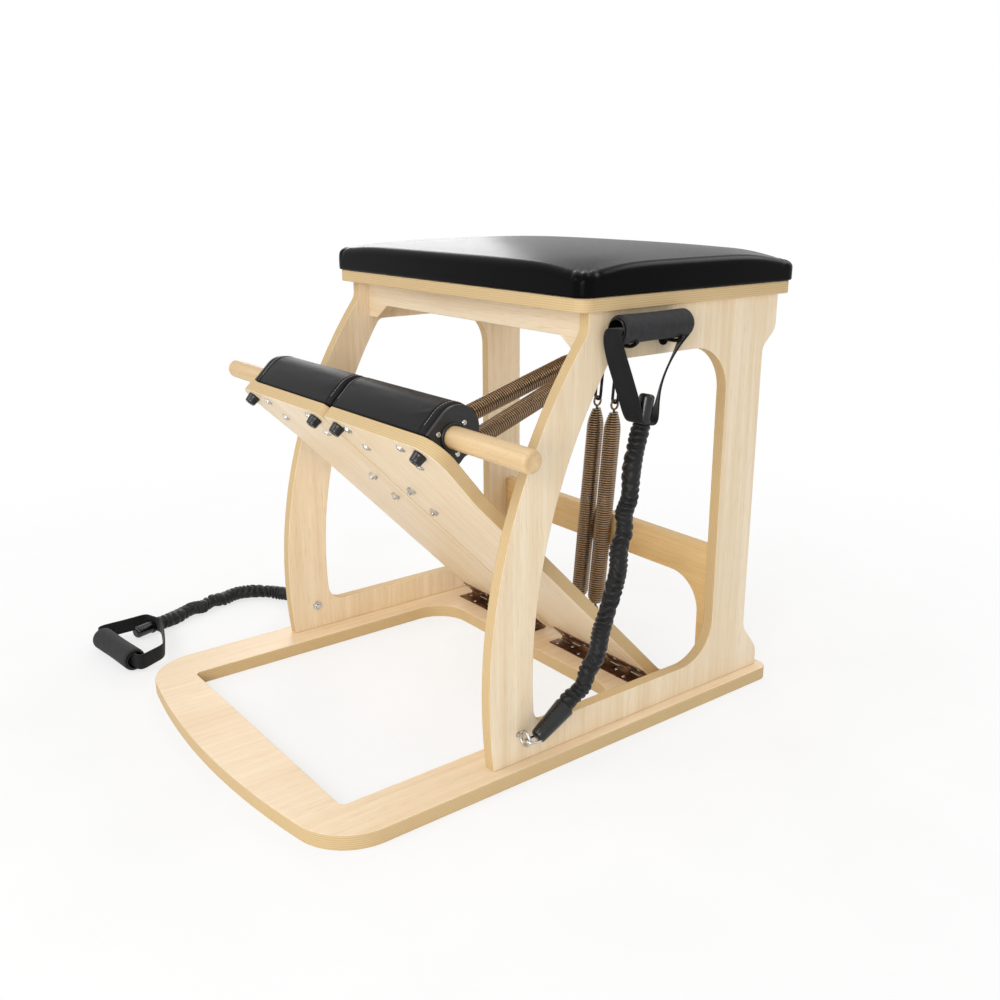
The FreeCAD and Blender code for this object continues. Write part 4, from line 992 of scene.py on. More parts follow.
@dataclass
class Band:
    """Elastic band in a ruched sleeve, from its ring bolt to the handle."""

    side: Side
    route: tuple[Triple, ...]
    reference: np.ndarray
    stiffness: str
    lay: str
    radius: float = 0.0125
    core: float = 0.0082
    base_share: float = 0.735
    fold_share: float = 0.37
    fine_share: float = 0.022
    cap_length: float = 0.055
    cap_lap: float = 0.006
    head_length: float = 0.034
    head_lap: float = 0.004
    tuck: float = 0.008
    pucker: float = 0.0095
    ring_step: float = 0.0009
    floor_gap: float = 0.0003
    sides: int = 44
    cap_sides: int = 40

    def spline(self) -> np.ndarray:
        """Points read from the NURBS line whose control points are the route's."""
        curve = bpy.data.curves.new("band_line", "CURVE")
        curve.dimensions = "3D"
        line = curve.splines.new("NURBS")
        line.points.add(len(self.route) - 1)
        for point, place in zip(line.points, self.route):
            point.co = (*place, 1.0)
        line.order_u = 3
        line.use_endpoint_u = True
        line.resolution_u = 24
        holder = bpy.data.objects.new("band_line", curve)
        mesh = bpy.data.meshes.new_from_object(holder)
        flat = np.empty(len(mesh.vertices) * 3)
        mesh.vertices.foreach_get("co", flat)
        bpy.data.objects.remove(holder)
        bpy.data.curves.remove(curve)
        bpy.data.meshes.remove(mesh)
        return flat.reshape(-1, 3)

    def sleeve_radius(self, run: np.ndarray) -> np.ndarray:
        """Ruched radius: folds rise and fall along the band and drift round it.

        Args:
            run: Length along the band at each ring.

        Returns:
            Radius at each ring and side.
        """
        angle = np.linspace(0, 2 * np.pi, self.sides, endpoint=False)[None]
        s = (run / self.pucker)[:, None]
        drift = (0.42 * np.sin(angle + 1.7 * np.sin(0.37 * s)) + 0.24 * np.sin(2 * angle - 0.53 * s)
                 + 0.13 * np.sin(3 * angle + 1.31 * s) + 0.45 * np.sin(0.71 * s))
        fold = np.abs(np.sin(np.pi * (s + drift))) ** 0.5
        bunch = 0.6 + 0.4 * np.sin(angle - 0.83 * s + 1.9 * np.sin(0.29 * s))
        fine = np.sin(7 * angle + 2.3 * s) * np.sin(2.1 * np.pi * s + 2 * np.sin(angle))
        swell = 0.03 * np.sin(0.47 * s + 1.1) + 0.025 * np.sin(1.13 * s + 0.4)
        shaped = self.radius * (self.base_share + swell + self.fold_share * fold * bunch
                                + self.fine_share * fine)
        cap_end, head = self.cap_length, run[-1] - self.head_length
        hidden = np.minimum(rounded_ramp((run - cap_end + self.cap_lap) / self.tuck),
                            rounded_ramp((head + self.head_lap - run) / self.tuck))[:, None]
        return self.core + (shaped - self.core) * hidden

    def build(self, finishes: Finishes) -> bpy.types.Object:
        """Args:
            finishes: The chair's materials.

        Returns:
            The sleeve.
        """
        path = self.spline()
        path = resampled(path, int(lengths(path)[-1] / self.ring_step))
        run = lengths(path)
        around = np.linspace(0, 2 * np.pi * self.radius, self.sides + 1)
        grid = tube(path, self.reference, self.sleeve_radius(run), self.sides)
        grid[..., 2] = np.maximum(grid[..., 2], self.floor_gap)
        sleeve = skin(self.side.name_of("sleeve"), grid, run, around)
        settle(sleeve, "frame", "band_fabric", finishes["band_fabric_finish"])
        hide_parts(self.side.name_of("band_sleeve"))
        cap = self.cap(path, finishes)
        extras = [cap, *Handle.on(self.side).build(finishes)]
        for stem, finish in (("band_hook", "zinc_steel_finish"),
                             ("band_ferrule", "cap_plastic_finish"),
                             ("grip_core", "cap_plastic_finish")):
            coat(self.side.name_of(stem), finishes[finish])
            extras.append(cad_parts[self.side.name_of(stem)])
        return sleeve

    def cap(self, path: np.ndarray, finishes: Finishes) -> bpy.types.Object:
        """Glossy end cap turned about the band's first run, narrow at the hook."""
        axis = unit(np.array(self.route[1]) - np.array(self.route[0]))
        cap = turned_piece(self.side.name_of("end_cap"), CAP_PROFILE, path[0], axis, self.cap_sides)
        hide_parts(self.side.name_of("band_end_cap"))
        return settle(cap, "frame", "cap_plastic", finishes["cap_plastic_finish"])


@dataclass
class Handle:
    """Foam grip on a webbing loop: the grip's direction, and the loop's line and width.

    The loop starts at the grip's centre.
    """

    side: Side
    along: Triple
    loop: tuple[tuple[float, ...], ...]
    grip_radius: float = 0.018
    grip_half: float = 0.058
    bore: float = 0.0143
    shoulder: float = 0.0032
    shoulder_span: float = 0.008
    pinch: float = 0.0007
    strap_half: float = 0.0125
    strap_thick: float = 0.0026
    strap_powers: tuple[float, float] = (0.22, 0.55)
    strap_sides: int = 28
    per_span: int = 9

    @staticmethod
    def on(side: Side) -> "Handle":
        """The handle of one side: hung on the panel at the right, on the floor at the left."""
        if side is Side.RIGHT:
            return Handle(side, (0.0, 1.0, 0.0), tuple((RIGHT_X, *line) for line in RIGHT_LOOP))
        return Handle(side, (math.cos(LEFT_TURN), math.sin(LEFT_TURN), 0.0),
                      tuple((x, y, LEFT_Z, wx, wy, 1.0) for x, y, wx, wy in LEFT_LOOP))

    def strap(self, finishes: Finishes) -> bpy.types.Object:
        """Webbing: a flat rounded section carried round the loop, turned by the loop's width."""
        samples = spline_loop(np.array(self.loop), self.per_span)
        path = samples[:, :3]
        around = np.concatenate([path[-2:], path, path[:2]])
        tangent = unit(np.gradient(around, axis=0))[2:-2]
        wide = samples[:, 3:]
        wide = unit(wide - np.einsum("ij,ij->i", wide, tangent)[:, None] * tangent)
        thick = np.cross(tangent, wide)
        angle = np.linspace(0, 2 * np.pi, self.strap_sides, endpoint=False)
        w, t = (np.sign(wave) * np.abs(wave) ** power
                for wave, power in zip((np.cos(angle), np.sin(angle)), self.strap_powers))
        grid = (path[:, None] + (self.strap_half * w)[None, :, None] * wide[:, None]
                + (0.5 * self.strap_thick * t)[None, :, None] * thick[:, None])
        girth = np.linspace(0, 4 * self.strap_half, self.strap_sides + 1)
        piece = skin(self.side.name_of("strap"), grid, lengths(looped(path)), girth, closed=True)
        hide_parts(self.side.name_of("handle_strap"))
        return settle(piece, "frame", "strap_webbing", finishes["strap_webbing_finish"])

    def grip(self, finishes: Finishes) -> bpy.types.Object:
        """Foam roll: turned profile with soft shoulders, a bore and a slight pinch half way."""
        r, h, ease = self.grip_radius, self.grip_half, self.shoulder
        bend = np.linspace(0, np.pi / 2, 6)
        shoulder = np.stack([r - ease + ease * np.sin(bend), -h + ease - ease * np.cos(bend)], -1)
        span = np.linspace(-h + self.shoulder_span, h - self.shoulder_span, 15)
        body = np.stack([r - self.pinch * np.cos(span / h * np.pi / 2) ** 2, span], -1)
        profile = np.concatenate([shoulder, body, shoulder[::-1] * (1, -1),
                                  [(self.bore, h), (self.bore, -h)]])
        piece = bored_piece(self.side.name_of("grip"), profile, np.array(self.loop[0][:3]),
                            np.array(self.along), 2 * np.pi * r)
        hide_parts(self.side.name_of("handle_grip"))
        return settle(piece, "frame", "grip_foam", finishes["grip_foam_finish"])

    def build(self, finishes: Finishes) -> list[bpy.types.Object]:
        """Make the strap and the grip."""
        return [self.strap(finishes), self.grip(finishes)]


# Plywood frame
@dataclass
class Boards:
    """Plywood boards: copies of the frame's boards with eased edges and two wood finishes."""

    weld: float = 0.00002
    level: float = 0.004
    ease: float = 0.0013
    steps: int = 2
    sharp: float = math.radians(34)
    crisp: float = math.radians(16)
    face_share: float = 0.8

    def build(self, finishes: Finishes) -> None:
        """Make every board.

        Args:
            finishes: The chair's materials.
        """
        up, across, along = UPRIGHT, SIDEWAYS, np.array([0.0, 1.0, 0.0])
        rows = [("base_board", "frame", up, "base"), ("seat_board", "frame", up, "base"),
                # The rear board takes the rear finish, whose face colours carry painted shade
                ("front_apron", "frame", along, "rail"), ("rear_board", "frame", along, "rear"),
                ("rear_top_rail", "frame", along, "rail")]
        for side in Side:
            rows.append((side.name_of("side_panel"), "frame", across, "panel"))
            rows.append((side.name_of("pedal_board"), side.name_of("pedal"), PEDAL.outward,
                         "pedal"))
        for node, body, normal, kind in rows:
            piece = self.board(node, normal)
            settle(piece, body, "birch_ply", finishes[kind + "_face"], finishes[kind + "_edge"])
            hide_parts(node)

    def board(self, node: str, normal: np.ndarray) -> bpy.types.Object:
        """One board with its edges eased.

        Args:
            node: The frame's node that is copied.
            normal: Direction through the board.

        Returns:
            The piece, its broad faces numbered 0 and its edges 1.
        """
        work = bmesh.new()
        work.from_mesh(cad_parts[node].data)
        bmesh.ops.remove_doubles(work, verts=work.verts, dist=self.weld)
        bmesh.ops.dissolve_limit(work, angle_limit=self.level, verts=work.verts, edges=work.edges)
        bmesh.ops.recalc_face_normals(work, faces=work.faces)
        for face in work.faces:
            face.material_index = int(abs(face.normal.dot(normal)) < self.face_share)
        corners = [edge for edge in work.edges
                   if len(edge.link_faces) == 2 and edge.calc_face_angle() > self.sharp]
        bmesh.ops.bevel(work, geom=corners, offset=self.ease, offset_type="OFFSET",
                        segments=self.steps, profile=0.5, affect="EDGES", clamp_overlap=False,
                        material=-1)
        mesh = bpy.data.meshes.new(node + "_ply")
        work.to_mesh(mesh)
        work.free()
        piece = linked(node + "_ply", mesh)
        mesh.set_sharp_from_angle(angle=self.crisp)
        return piece


# Upholstery
CLOTH_FRAMES = 20
CLOTH = {"quality": 5, "mass": 0.4, "tension_stiffness": 18.0, "compression_stiffness": 18.0,
         "shear_stiffness": 8.0, "bending_stiffness": 0.8, "vertex_group_mass": "held",
         "use_pressure": True}


def points_of(mesh: bpy.types.Mesh) -> tuple[np.ndarray, np.ndarray]:
    """A mesh's points and their normals."""
    count = len(mesh.vertices)
    points, normals = np.empty(count * 3), np.empty(count * 3)
    mesh.vertices.foreach_get("co", points)
    mesh.vertices.foreach_get("normal", normals)
    return points.reshape(-1, 3), normals.reshape(-1, 3)


def press(piece: bpy.types.Object, depth: np.ndarray) -> None:
    """Move each of a piece's points in along its normal by a depth."""
    points, normals = points_of(piece.data)
    moved = points - normals * depth[:, None]
    piece.data.vertices.foreach_set("co", moved.reshape(-1))
    piece.data.update()


def inflate(piece: bpy.types.Object, held: np.ndarray, pressure: float, cap: float) -> None:
    """Swell a closed piece by cloth pressure, scaling the outward rise so that none passes the cap.

    Args:
        piece: The piece, its mesh closed.
        held: Whether each point stays where it is.
        pressure: Cloth pressure.
        cap: Furthest that a point may move.
    """
    rest, normals = points_of(piece.data)
    group = piece.vertex_groups.new(name="held")
    group.add(np.flatnonzero(held).tolist(), 1.0, "REPLACE")
    cloth = piece.modifiers.new("swell", "CLOTH")
    for key, value in CLOTH.items():
        setattr(cloth.settings, key, value)
    cloth.settings.uniform_pressure_force = pressure
    cloth.settings.effector_weights.gravity = 0
    cloth.collision_settings.use_collision = False
    scene = bpy.context.scene
    for number in range(1, CLOTH_FRAMES + 1):
        scene.frame_set(number)
    shown = piece.evaluated_get(bpy.context.evaluated_depsgraph_get())
    swollen, _ = points_of(shown.data)
    piece.modifiers.remove(cloth)
    piece.vertex_groups.remove(group)
    scene.frame_set(1)
    rise = np.maximum(np.einsum("ij,ij->i", swollen - rest, normals), 0.0)
    press(piece, -rise * min(1.0, cap / rise.max()))


def subdivide(piece: bpy.types.Object) -> None:
    """One smooth subdivision, alike on screen and in renders."""
    smooth = piece.modifiers.new("smooth", "SUBSURF")
    smooth.levels = smooth.render_levels = 1


@dataclass
class Cushion:
    """Seat cushion: foam under stretched vinyl, crowned and swollen, its corners gathered."""

    corner: float = 0.019
    least_corner: float = 0.004
    rim_drop: float = 0.002
    edge: float = 0.013
    edge_turn: float = math.radians(82)
    foot_insets: tuple[float, ...] = (0.03, 0.004, 0.001)
    foot_lifts: tuple[float, ...] = (0.0, 0.0, 0.0008)
    side_start: float = 0.003
    held_height: float = 0.006
    crown: float = 0.009
    crown_power: float = 2.7
    corner_fall: tuple[float, ...] = (0.005, 0.010, 0.012, 0.008)
    corner_reach: float = 0.062
    rings: int = 8
    across: int = 105
    along: int = 73
    bunching: float = 0.6
    pressure: float = 4.0
    cap: float = 0.0022
    pleat_depth: float = 0.0011
    pleat_width: float = 0.05
    pleat_angles: tuple[float, ...] = (-0.36, -0.14, 0.07, 0.3)
    pleat_arm: float = 0.05
    pleat_level: float = 0.42
    pleat_blend: float = 0.25

    def __post_init__(self) -> None:
        """Take the place and half sizes from the frame's cushion."""
        low, high = (np.array(corner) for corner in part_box("seat_cushion"))
        self.middle, self.half = (low + high)[:2] / 2, (high - low)[:2] / 2
        self.foot, self.rim = low[2], high[2] - self.rim_drop

    def outline(self, square: np.ndarray, inset: float) -> np.ndarray:
        """Rounded rectangle from a square's border, scaled to the half sizes.

        Args:
            square: Places on the border of the square from -1 to 1.
            inset: How far the outline is drawn in.

        Returns:
            Places about the cushion's middle.
        """
        half, radius = self.half - inset, max(self.corner - inset, self.least_corner)
        core = np.clip(square * half, radius - half, half - radius)
        return core + radius * unit(square * half - core)

    def height(self, place: np.ndarray, level: np.ndarray) -> np.ndarray:
        """Height at a place: the level, less a bell curve at each corner, plus a crown of powers.

        Args:
            place: Places about the middle.
            level: Height there before the vinyl is pulled.

        Returns:
            Heights over the floor.
        """
        corners = np.array([(-1, -1), (1, -1), (1, 1), (-1, 1)]) * self.half
        gap = np.linalg.norm(place[..., None, :] - corners, axis=-1)
        fall = gaussian(gap, 0.0, self.corner_reach) @ np.array(self.corner_fall)
        rise = 1 - np.minimum(np.abs(place) / self.half, 1) ** self.crown_power
        share = (level - self.foot) / (self.rim - self.foot)
        return level - fall * share + self.crown * rise[..., 0] * rise[..., 1] * share

    def wall(self) -> tuple[np.ndarray, np.ndarray]:
        """Insets and levels of the rings from under the foot up the side and over the top edge."""
        turn = np.linspace(0, self.edge_turn, self.rings)
        shoulder = self.rim - self.edge
        side = np.linspace(self.foot + self.side_start, shoulder, self.rings)[:-1]
        inset = np.concatenate([self.foot_insets, np.zeros(len(side)),
                                self.edge * (1 - np.cos(turn))])
        level = np.concatenate([self.foot + np.array(self.foot_lifts), side,
                                shoulder + self.edge * np.sin(turn)])
        return inset, level

    def mesh(self) -> bpy.types.Mesh:
        """Closed mesh: rings up the side whose last one is the border of a grid over the top."""
        evenly = (np.linspace(-1, 1, cells + 1) for cells in (self.across, self.along))
        u, v = ((1 - self.bunching) * w + self.bunching * np.sin(np.pi / 2 * w) for w in evenly)
        square = np.stack(np.meshgrid(u, v, indexing="ij"), -1)
        ring = np.abs(square).max(-1, keepdims=True)
        inset, level = self.wall()
        top = ring * self.outline(square / ring, inset[-1])
        numbers = np.arange(top[..., 0].size).reshape(top.shape[:2])
        border = np.concatenate([numbers[:-1, 0], numbers[-1, :-1], numbers[:0:-1, -1],
                                 numbers[0, :0:-1]])
        edge = square.reshape(-1, 2)[border]
        sides = np.stack([self.outline(edge, value) for value in inset[:-1]])
        flat = np.concatenate([top.reshape(-1, 2), sides.reshape(-1, 2), np.zeros((1, 2))])
        levels = np.concatenate([np.full(numbers.size, level[-1]),
                                 np.repeat(level[:-1], len(border)), level[:1]])
        points = np.concatenate([flat + self.middle, self.height(flat, levels)[:, None]], 1)
        below = numbers.size + np.arange(sides[..., 0].size).reshape(len(sides), -1)
        rows = np.concatenate([below, border[None]])
        after = np.roll(rows, -1, axis=1)
        walls = np.stack([rows[:-1], after[:-1], after[1:], rows[1:]], -1).reshape(-1, 4)
        quads, _ = lattice(*numbers.shape, False, False)
        fan = np.stack([np.full(len(border), len(points) - 1), after[0], rows[0]], -1)
        mesh = bpy.data.meshes.new("cushion")
        faces = quads[:, ::-1].tolist() + walls.tolist() + fan.tolist()
        mesh.from_pydata(points.tolist(), [], faces)
        return mesh

    def build(self, finishes: Finishes) -> None:
        """Make the form, swell it, gather its corners and finish it.

        Args:
            finishes: The chair's materials.
        """
        piece = linked("cushion", self.mesh())
        points, _ = points_of(piece.data)
        inflate(piece, points[:, 2] < self.foot + self.held_height, self.pressure, self.cap)
        self.gather(piece)
        subdivide(piece)
        settle(piece, "frame", "seat_vinyl", finishes["seat_vinyl_finish"])
        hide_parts("seat_cushion")

    def gather(self, piece: bpy.types.Object) -> None:
        """Press pleats into the corners: grooves at set angles round each, over the top edge."""
        points, _ = points_of(piece.data)
        place = points[:, :2] - self.middle
        arm = np.abs(place) - (self.half - self.pleat_arm)
        turn = np.arctan2(arm[:, 1], arm[:, 0]) - np.pi / 4
        reach = np.linalg.norm(np.maximum(arm, 0), axis=1) / self.pleat_arm
        outside = rounded_ramp(reach * 1.6 - 0.6) * (arm > 0).all(1)
        groove = sum(gaussian(turn, angle, self.pleat_width) for angle in self.pleat_angles)
        level = (points[:, 2] - self.foot) / (self.rim - self.foot)
        upper = rounded_ramp((level - self.pleat_level) / self.pleat_blend)
        press(piece, self.pleat_depth * groove * outside * upper)


@dataclass
class Pad:
    """Pedal pad: a vinyl roll of D section round the rod, swollen, with two stitched seams."""

    side: Side
    station: float = 0.554
    half: float = 0.033
    tall: float = 0.068
    rod_height: float = 0.024
    bore: float = 0.0146
    inner: float = 0.0026
    outer: float = 0.225
    ease: float = 0.007
    seams: tuple[float, float] = (0.0085, 0.0135)
    sides: int = 96
    stitch: float = 0.0042
    stitch_set: float = 0.002
    start_inset: float = 0.0016
    foot_share: float = 0.4
    corner_power: float = 14.0
    end_lead: float = 0.72
    end_gap: float = 0.0006
    held_lead: float = 0.35
    held_sine: float = -0.55
    pressure: float = 3.0
    cap: float = 0.005
    least_step: float = 0.0004
    seam_half: float = 0.004
    seam_clear: float = 0.005
    seam_depth: float = 0.0013
    seam_width: float = 0.0016
    thread: float = 0.00042
    thread_lift: float = 0.0003
    thread_share: float = 0.4
    thread_girth: float = 0.002

    def reach(self, angle: np.ndarray, inset: float) -> np.ndarray:
        """Distance from the rod's axis to the D outline at angles from the board's direction.

        The outline is the nearest of the flat foot, the two upright sides and the half round
        top, blended by a high power sum so that its lower corners are eased.

        Args:
            angle: Angles round the rod.
            inset: How far the outline is drawn in.

        Returns:
            Distances from the axis.
        """
        half, foot = self.half - inset, self.rod_height - inset * self.foot_share
        rise = self.tall - self.rod_height - self.half
        cos, sin = np.cos(angle), np.sin(angle)
        dome = rise * sin + np.sqrt(np.maximum(half ** 2 - (rise * cos) ** 2, 1e-9))
        wall = half / np.maximum(np.abs(cos), 1e-4)
        upper = np.where(dome * sin >= rise, dome, wall)
        lower = np.where(sin < 0, foot / np.maximum(-sin, 1e-4), 1.0)
        power = self.corner_power
        return (upper ** -power + lower ** -power) ** (-1 / power)

    def build(self, finishes: Finishes) -> None:
        """Make the pad and its stitches.

        Args:
            finishes: The chair's materials.
        """
        angle = np.linspace(0, 2 * np.pi, self.sides, endpoint=False)
        x, lead = self.profile()
        outline = self.reach(angle, self.start_inset)[None]
        radius = self.bore + (outline - self.bore) * lead[:, None]
        radius = np.minimum(radius, outline)
        grid = self.placed(x[:, None], angle[None], radius)
        run = lengths(np.stack([x, lead * self.half, x * 0], -1))
        run = np.append(run, run[-1] + 2 * self.bore)
        girth = np.linspace(0, 2 * np.pi * self.half, self.sides + 1)
        piece = skin(self.side.name_of("pad"), grid, run, girth, closed=True)
        held = ((np.repeat(lead, self.sides) < self.held_lead)
                | (np.tile(np.sin(angle), len(x)) < self.held_sine))
        inflate(piece, held, self.pressure, self.cap)
        self.press_seams(piece)
        subdivide(piece)
        body = self.side.name_of("pedal")
        settle(piece, body, "pad_vinyl", finishes["pad_vinyl_finish"])
        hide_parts(self.side.name_of("pedal_pad"))
        settle(self.stitches(piece, x), body, "pad_vinyl", finishes["thread_finish"])

    def profile(self) -> tuple[np.ndarray, np.ndarray]:
        """Places across and share of the way from bore to outline, once round the roll's wall."""
        bend = np.linspace(0, np.pi / 2, 7)
        start, stop = self.inner, self.outer - self.end_gap
        rise = np.linspace(0.0, self.end_lead, 6)[:-1]
        eased = self.end_lead + (1 - self.end_lead) * np.sin(bend)
        near = start + self.ease * (1 - np.cos(bend))
        seams = np.array([start + self.seams[0], stop - self.seams[1]])
        groove = np.linspace(-self.seam_half, self.seam_half, 9)
        fine = np.concatenate([seam + groove for seam in seams])
        coarse = np.linspace(near[-1], stop - self.ease, 44)[1:-1]
        clear = np.abs(coarse[:, None] - seams).min(1) > self.seam_clear
        span = np.sort(np.concatenate([fine, coarse[clear]]))
        low, high = near[-1] + self.least_step, stop - self.ease - self.least_step
        span = span[(span > low) & (span < high)]
        x = np.concatenate([np.full(len(rise), start), near, span, start + stop - near[::-1],
                            np.full(len(rise), stop)])
        lead = np.concatenate([rise, eased, np.ones(len(span)), eased[::-1], rise[::-1]])
        return x, lead

    def placed(self, x: np.ndarray, angle: np.ndarray, radius: np.ndarray) -> np.ndarray:
        """World points at places across and polar places round the rod."""
        station = self.station + radius * np.cos(angle)
        height = PEDAL.board + self.rod_height + radius * np.sin(angle)
        return PEDAL.points(self.side.value * x, station, height)

    def press_seams(self, piece: bpy.types.Object) -> None:
        """Draw the vinyl in along the seams: a bell-shaped groove at each."""
        points, _ = points_of(piece.data)
        x = points[:, 0] * self.side.value
        marks = (self.inner + self.seams[0], self.outer - self.seams[1])
        press(piece, self.seam_depth * sum(gaussian(x, mark, self.seam_width) for mark in marks))

    def stitches(self, pad: bpy.types.Object, x: np.ndarray) -> bpy.types.Object:
        """Thread: short spindles along both seams, evenly spaced over the roll's swollen surface.

        Args:
            pad: The finished roll.
            x: Place across of each of its rings.

        Returns:
            All the stitches as one piece.
        """
        points, normals = (values.reshape(-1, self.sides, 3) for values in points_of(pad.data))
        seams = (self.inner + self.seams[0] - self.stitch_set,
                 self.outer - self.seams[1] + self.stitch_set)
        over = np.arange(-6, self.sides // 2 + 7) % self.sides
        middle, out, ahead = [], [], []
        for seam in seams:
            row = int(np.abs(x - seam).argmin())
            line, up = points[row, over], normals[row, over]
            reach = lengths(line)
            marks = np.arange(self.stitch, reach[-1] - self.stitch, self.stitch)
            for values, source in ((middle, line), (out, up), (ahead, np.gradient(line, axis=0))):
                values.append(np.stack([np.interp(marks, reach, part) for part in source.T], -1))
        out, ahead = unit(np.concatenate(out)), unit(np.concatenate(ahead))
        middle = np.concatenate(middle) + self.thread_lift * out
        third = np.cross(ahead, out)
        along = np.linspace(-1, 1, 5)
        girth = np.linspace(0, 2 * np.pi, 6, endpoint=False)
        thick = self.thread * np.sqrt(np.maximum(1 - 0.9 * along ** 2, 0.05))
        offset = self.thread_share * self.stitch * along
        grid = (middle[:, None, None] + offset[None, :, None, None] * ahead[:, None, None]
                + (thick[:, None] * np.cos(girth))[None, ..., None] * out[:, None, None]
                + (thick[:, None] * np.sin(girth))[None, ..., None] * third[:, None, None])
        return skin(self.side.name_of("pad_stitches"), grid, along * self.stitch,
                    np.linspace(0, self.thread_girth, len(girth) + 1))


# Springs
@dataclass
class Springs:
    """Close-wound steel springs: two hooked to the pedals and two hanging spare."""

    turns: int = 84
    per_turn: int = 24
    wire: float = 0.00182
    wire_sides: int = 8
    radius: float = 0.0122
    neck: float = 0.0052
    tapers: tuple[float, float] = (8.0, 3.5)
    body: float = 0.322
    lead: float = 0.03844
    setback: float = 0.0096
    hang_start: float = 0.10215
    lean: float = math.radians(5.33)
    anchor: Triple = (0.02, 0.3245, 0.484)
    eye: Triple = (0.05, -0.06339, 0.35951)

    def coil(self, name: str, start: np.ndarray, heading: np.ndarray) -> bpy.types.Object:
        """Wire tube on the helix start + heading z + r (cos a first + sin a second).

        The radius r falls at both ends.

        Args:
            name: Name of the piece.
            start: Where the coil begins.
            heading: Direction of its axis.

        Returns:
            The coil.
        """
        turn = np.linspace(0, self.turns, self.turns * self.per_turn + 1)
        first = unit(np.cross(SIDEWAYS, heading))
        second = np.cross(heading, first)
        ends = np.minimum(turn / self.tapers[0], (self.turns - turn) / self.tapers[1])
        ease = np.sin(np.pi / 2 * np.clip(ends, 0, 1))
        radius = (self.neck + (self.radius - self.neck) * ease)[:, None]
        angle = (2 * np.pi * turn)[:, None]
        path = (start + heading * (self.body * turn / self.turns)[:, None]
                + radius * (np.cos(angle) * first + np.sin(angle) * second))
        grid = tube(path, heading, np.full(len(path), self.wire), self.wire_sides)
        girth = np.linspace(0, 2 * np.pi * self.wire, self.wire_sides + 1)
        return skin(name, grid, lengths(path), girth)

    def build(self, finishes: Finishes) -> None:
        """Make the four coils and finish their hooks.

        Args:
            finishes: The chair's materials.
        """
        steel = finishes["spring_coil_finish"]
        down = np.array([0.0, -math.sin(self.lean), -math.cos(self.lean)])
        for side in Side:
            flip = np.array([side.value, 1.0, 1.0])
            anchor, eye = np.array(self.anchor) * flip, np.array(self.eye) * flip
            heading = unit(eye - anchor)
            start = anchor + heading * (self.setback + self.lead)
            hooked = self.coil(side.name_of("hooked_coil"), start, heading)
            hooked.data.materials.append(steel)
            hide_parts(side.name_of("pedal_spring"))
            side.name_of("pedal_spring")
            side.name_of("spring_hook")
            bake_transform(hooked)
            LOG.info("%s stretches with its hook", hooked.name)
            spare = self.coil(side.name_of("spare_coil"), anchor + down * self.hang_start, down)
            settle(spare, side.name_of("hanging_spring"), "spring_steel", steel)
            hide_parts(side.name_of("hanging_spring"))
            for stem in ("spring_top_hook", "spring_pedal_hook", "hanging_spring_hooks"):
                coat(side.name_of(stem), finishes["spring_steel_finish"])
            coat(side.name_of("hanger_loop"), finishes["black_steel_finish"])


# Pedal fittings
@dataclass(frozen=True)
class Turning:
    """A small turned part: its names, sides, (radius, height) rings and the node it replaces."""

    stem: str
    slot: str
    finish: str
    sides: int
    profile: tuple[tuple[float, float], ...]
    node: str = ""

    def build(self, side: Side, body: str, finishes: Finishes, feet: np.ndarray,
              axis: np.ndarray) -> None:
        """Make the part's copies as one piece.

        Args:
            side: Side of the chair.
            body: Body that it moves with.
            finishes: The chair's materials.
            feet: Place of each copy.
            axis: Direction that it stands out in.
        """
        piece = turned_piece(side.name_of(self.stem), self.profile, feet, axis, self.sides)
        if self.node:
            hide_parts(side.name_of(self.node))
        settle(piece, body, self.slot, finishes[self.finish])


# Rubber stop: a collar, a waisted body and a rounded tip with a bolt hole
BUMPER = Turning("bumpers", "black_rubber", "black_rubber_finish", 40, (
    (0.0088, 0.0), (0.0092, 0.0006), (0.0092, 0.0026), (0.0088, 0.0036), (0.0086, 0.0060),
    (0.0083, 0.0085), (0.0080, 0.0108), (0.0076, 0.0121), (0.0068, 0.0129), (0.0048, 0.0130),
    (0.0036, 0.0126), (0.0032, 0.0118), (0.0032, 0.0085)), "rubber_bumpers")
# Bolt head sunk in a bumper's tip
BUMPER_BOLT = Turning("bumper_bolts", "zinc_steel", "zinc_steel_finish", 20, (
    (0.0029, 0.0084), (0.0030, 0.0098), (0.0026, 0.0106), (0.0016, 0.0108), (0.0014, 0.0100)))
# Flanged nut under the board that holds a pad, with a round hollow
PAD_NUT = Turning("pad_nuts", "zinc_steel", "zinc_steel_finish", 24, (
    (0.0066, 0.0), (0.0070, 0.0006), (0.0068, 0.0012), (0.0050, 0.0016), (0.0046, 0.0028),
    (0.0041, 0.0030), (0.0030, 0.0029), (0.0028, 0.0010)), "pad_bolts")
# Domed screw of the end plate, with a driver hollow
PLATE_SCREW = Turning("plate_screws", "zinc_steel", "zinc_steel_finish", 24, (
    (0.0036, 0.0), (0.0036, 0.0005), (0.0033, 0.0012), (0.0026, 0.0018), (0.0016, 0.0021),
    (0.0013, 0.0020), (0.0009, 0.0012)), "flange_screws")
# Low domed screw heads of the hinge's two leaves
LEAF_HEAD = ((0.0034, 0.0), (0.0032, 0.0005), (0.0024, 0.0010), (0.0014, 0.0012),
             (0.0011, 0.0011), (0.0007, 0.0004))
BASE_LEAF_SCREW, PEDAL_LEAF_SCREW = (
    Turning(stem, "hinge_steel", "zinc_steel_finish", 20, LEAF_HEAD)
    for stem in ("base_leaf_screws", "pedal_leaf_screws"))
# Raised ring on the end plate round the rod
FLANGE_RING = ((0.0146, 0.0), (0.0146, 0.0022), (0.0152, 0.0028), (0.0172, 0.0028),
               (0.0180, 0.0020), (0.0182, 0.0))
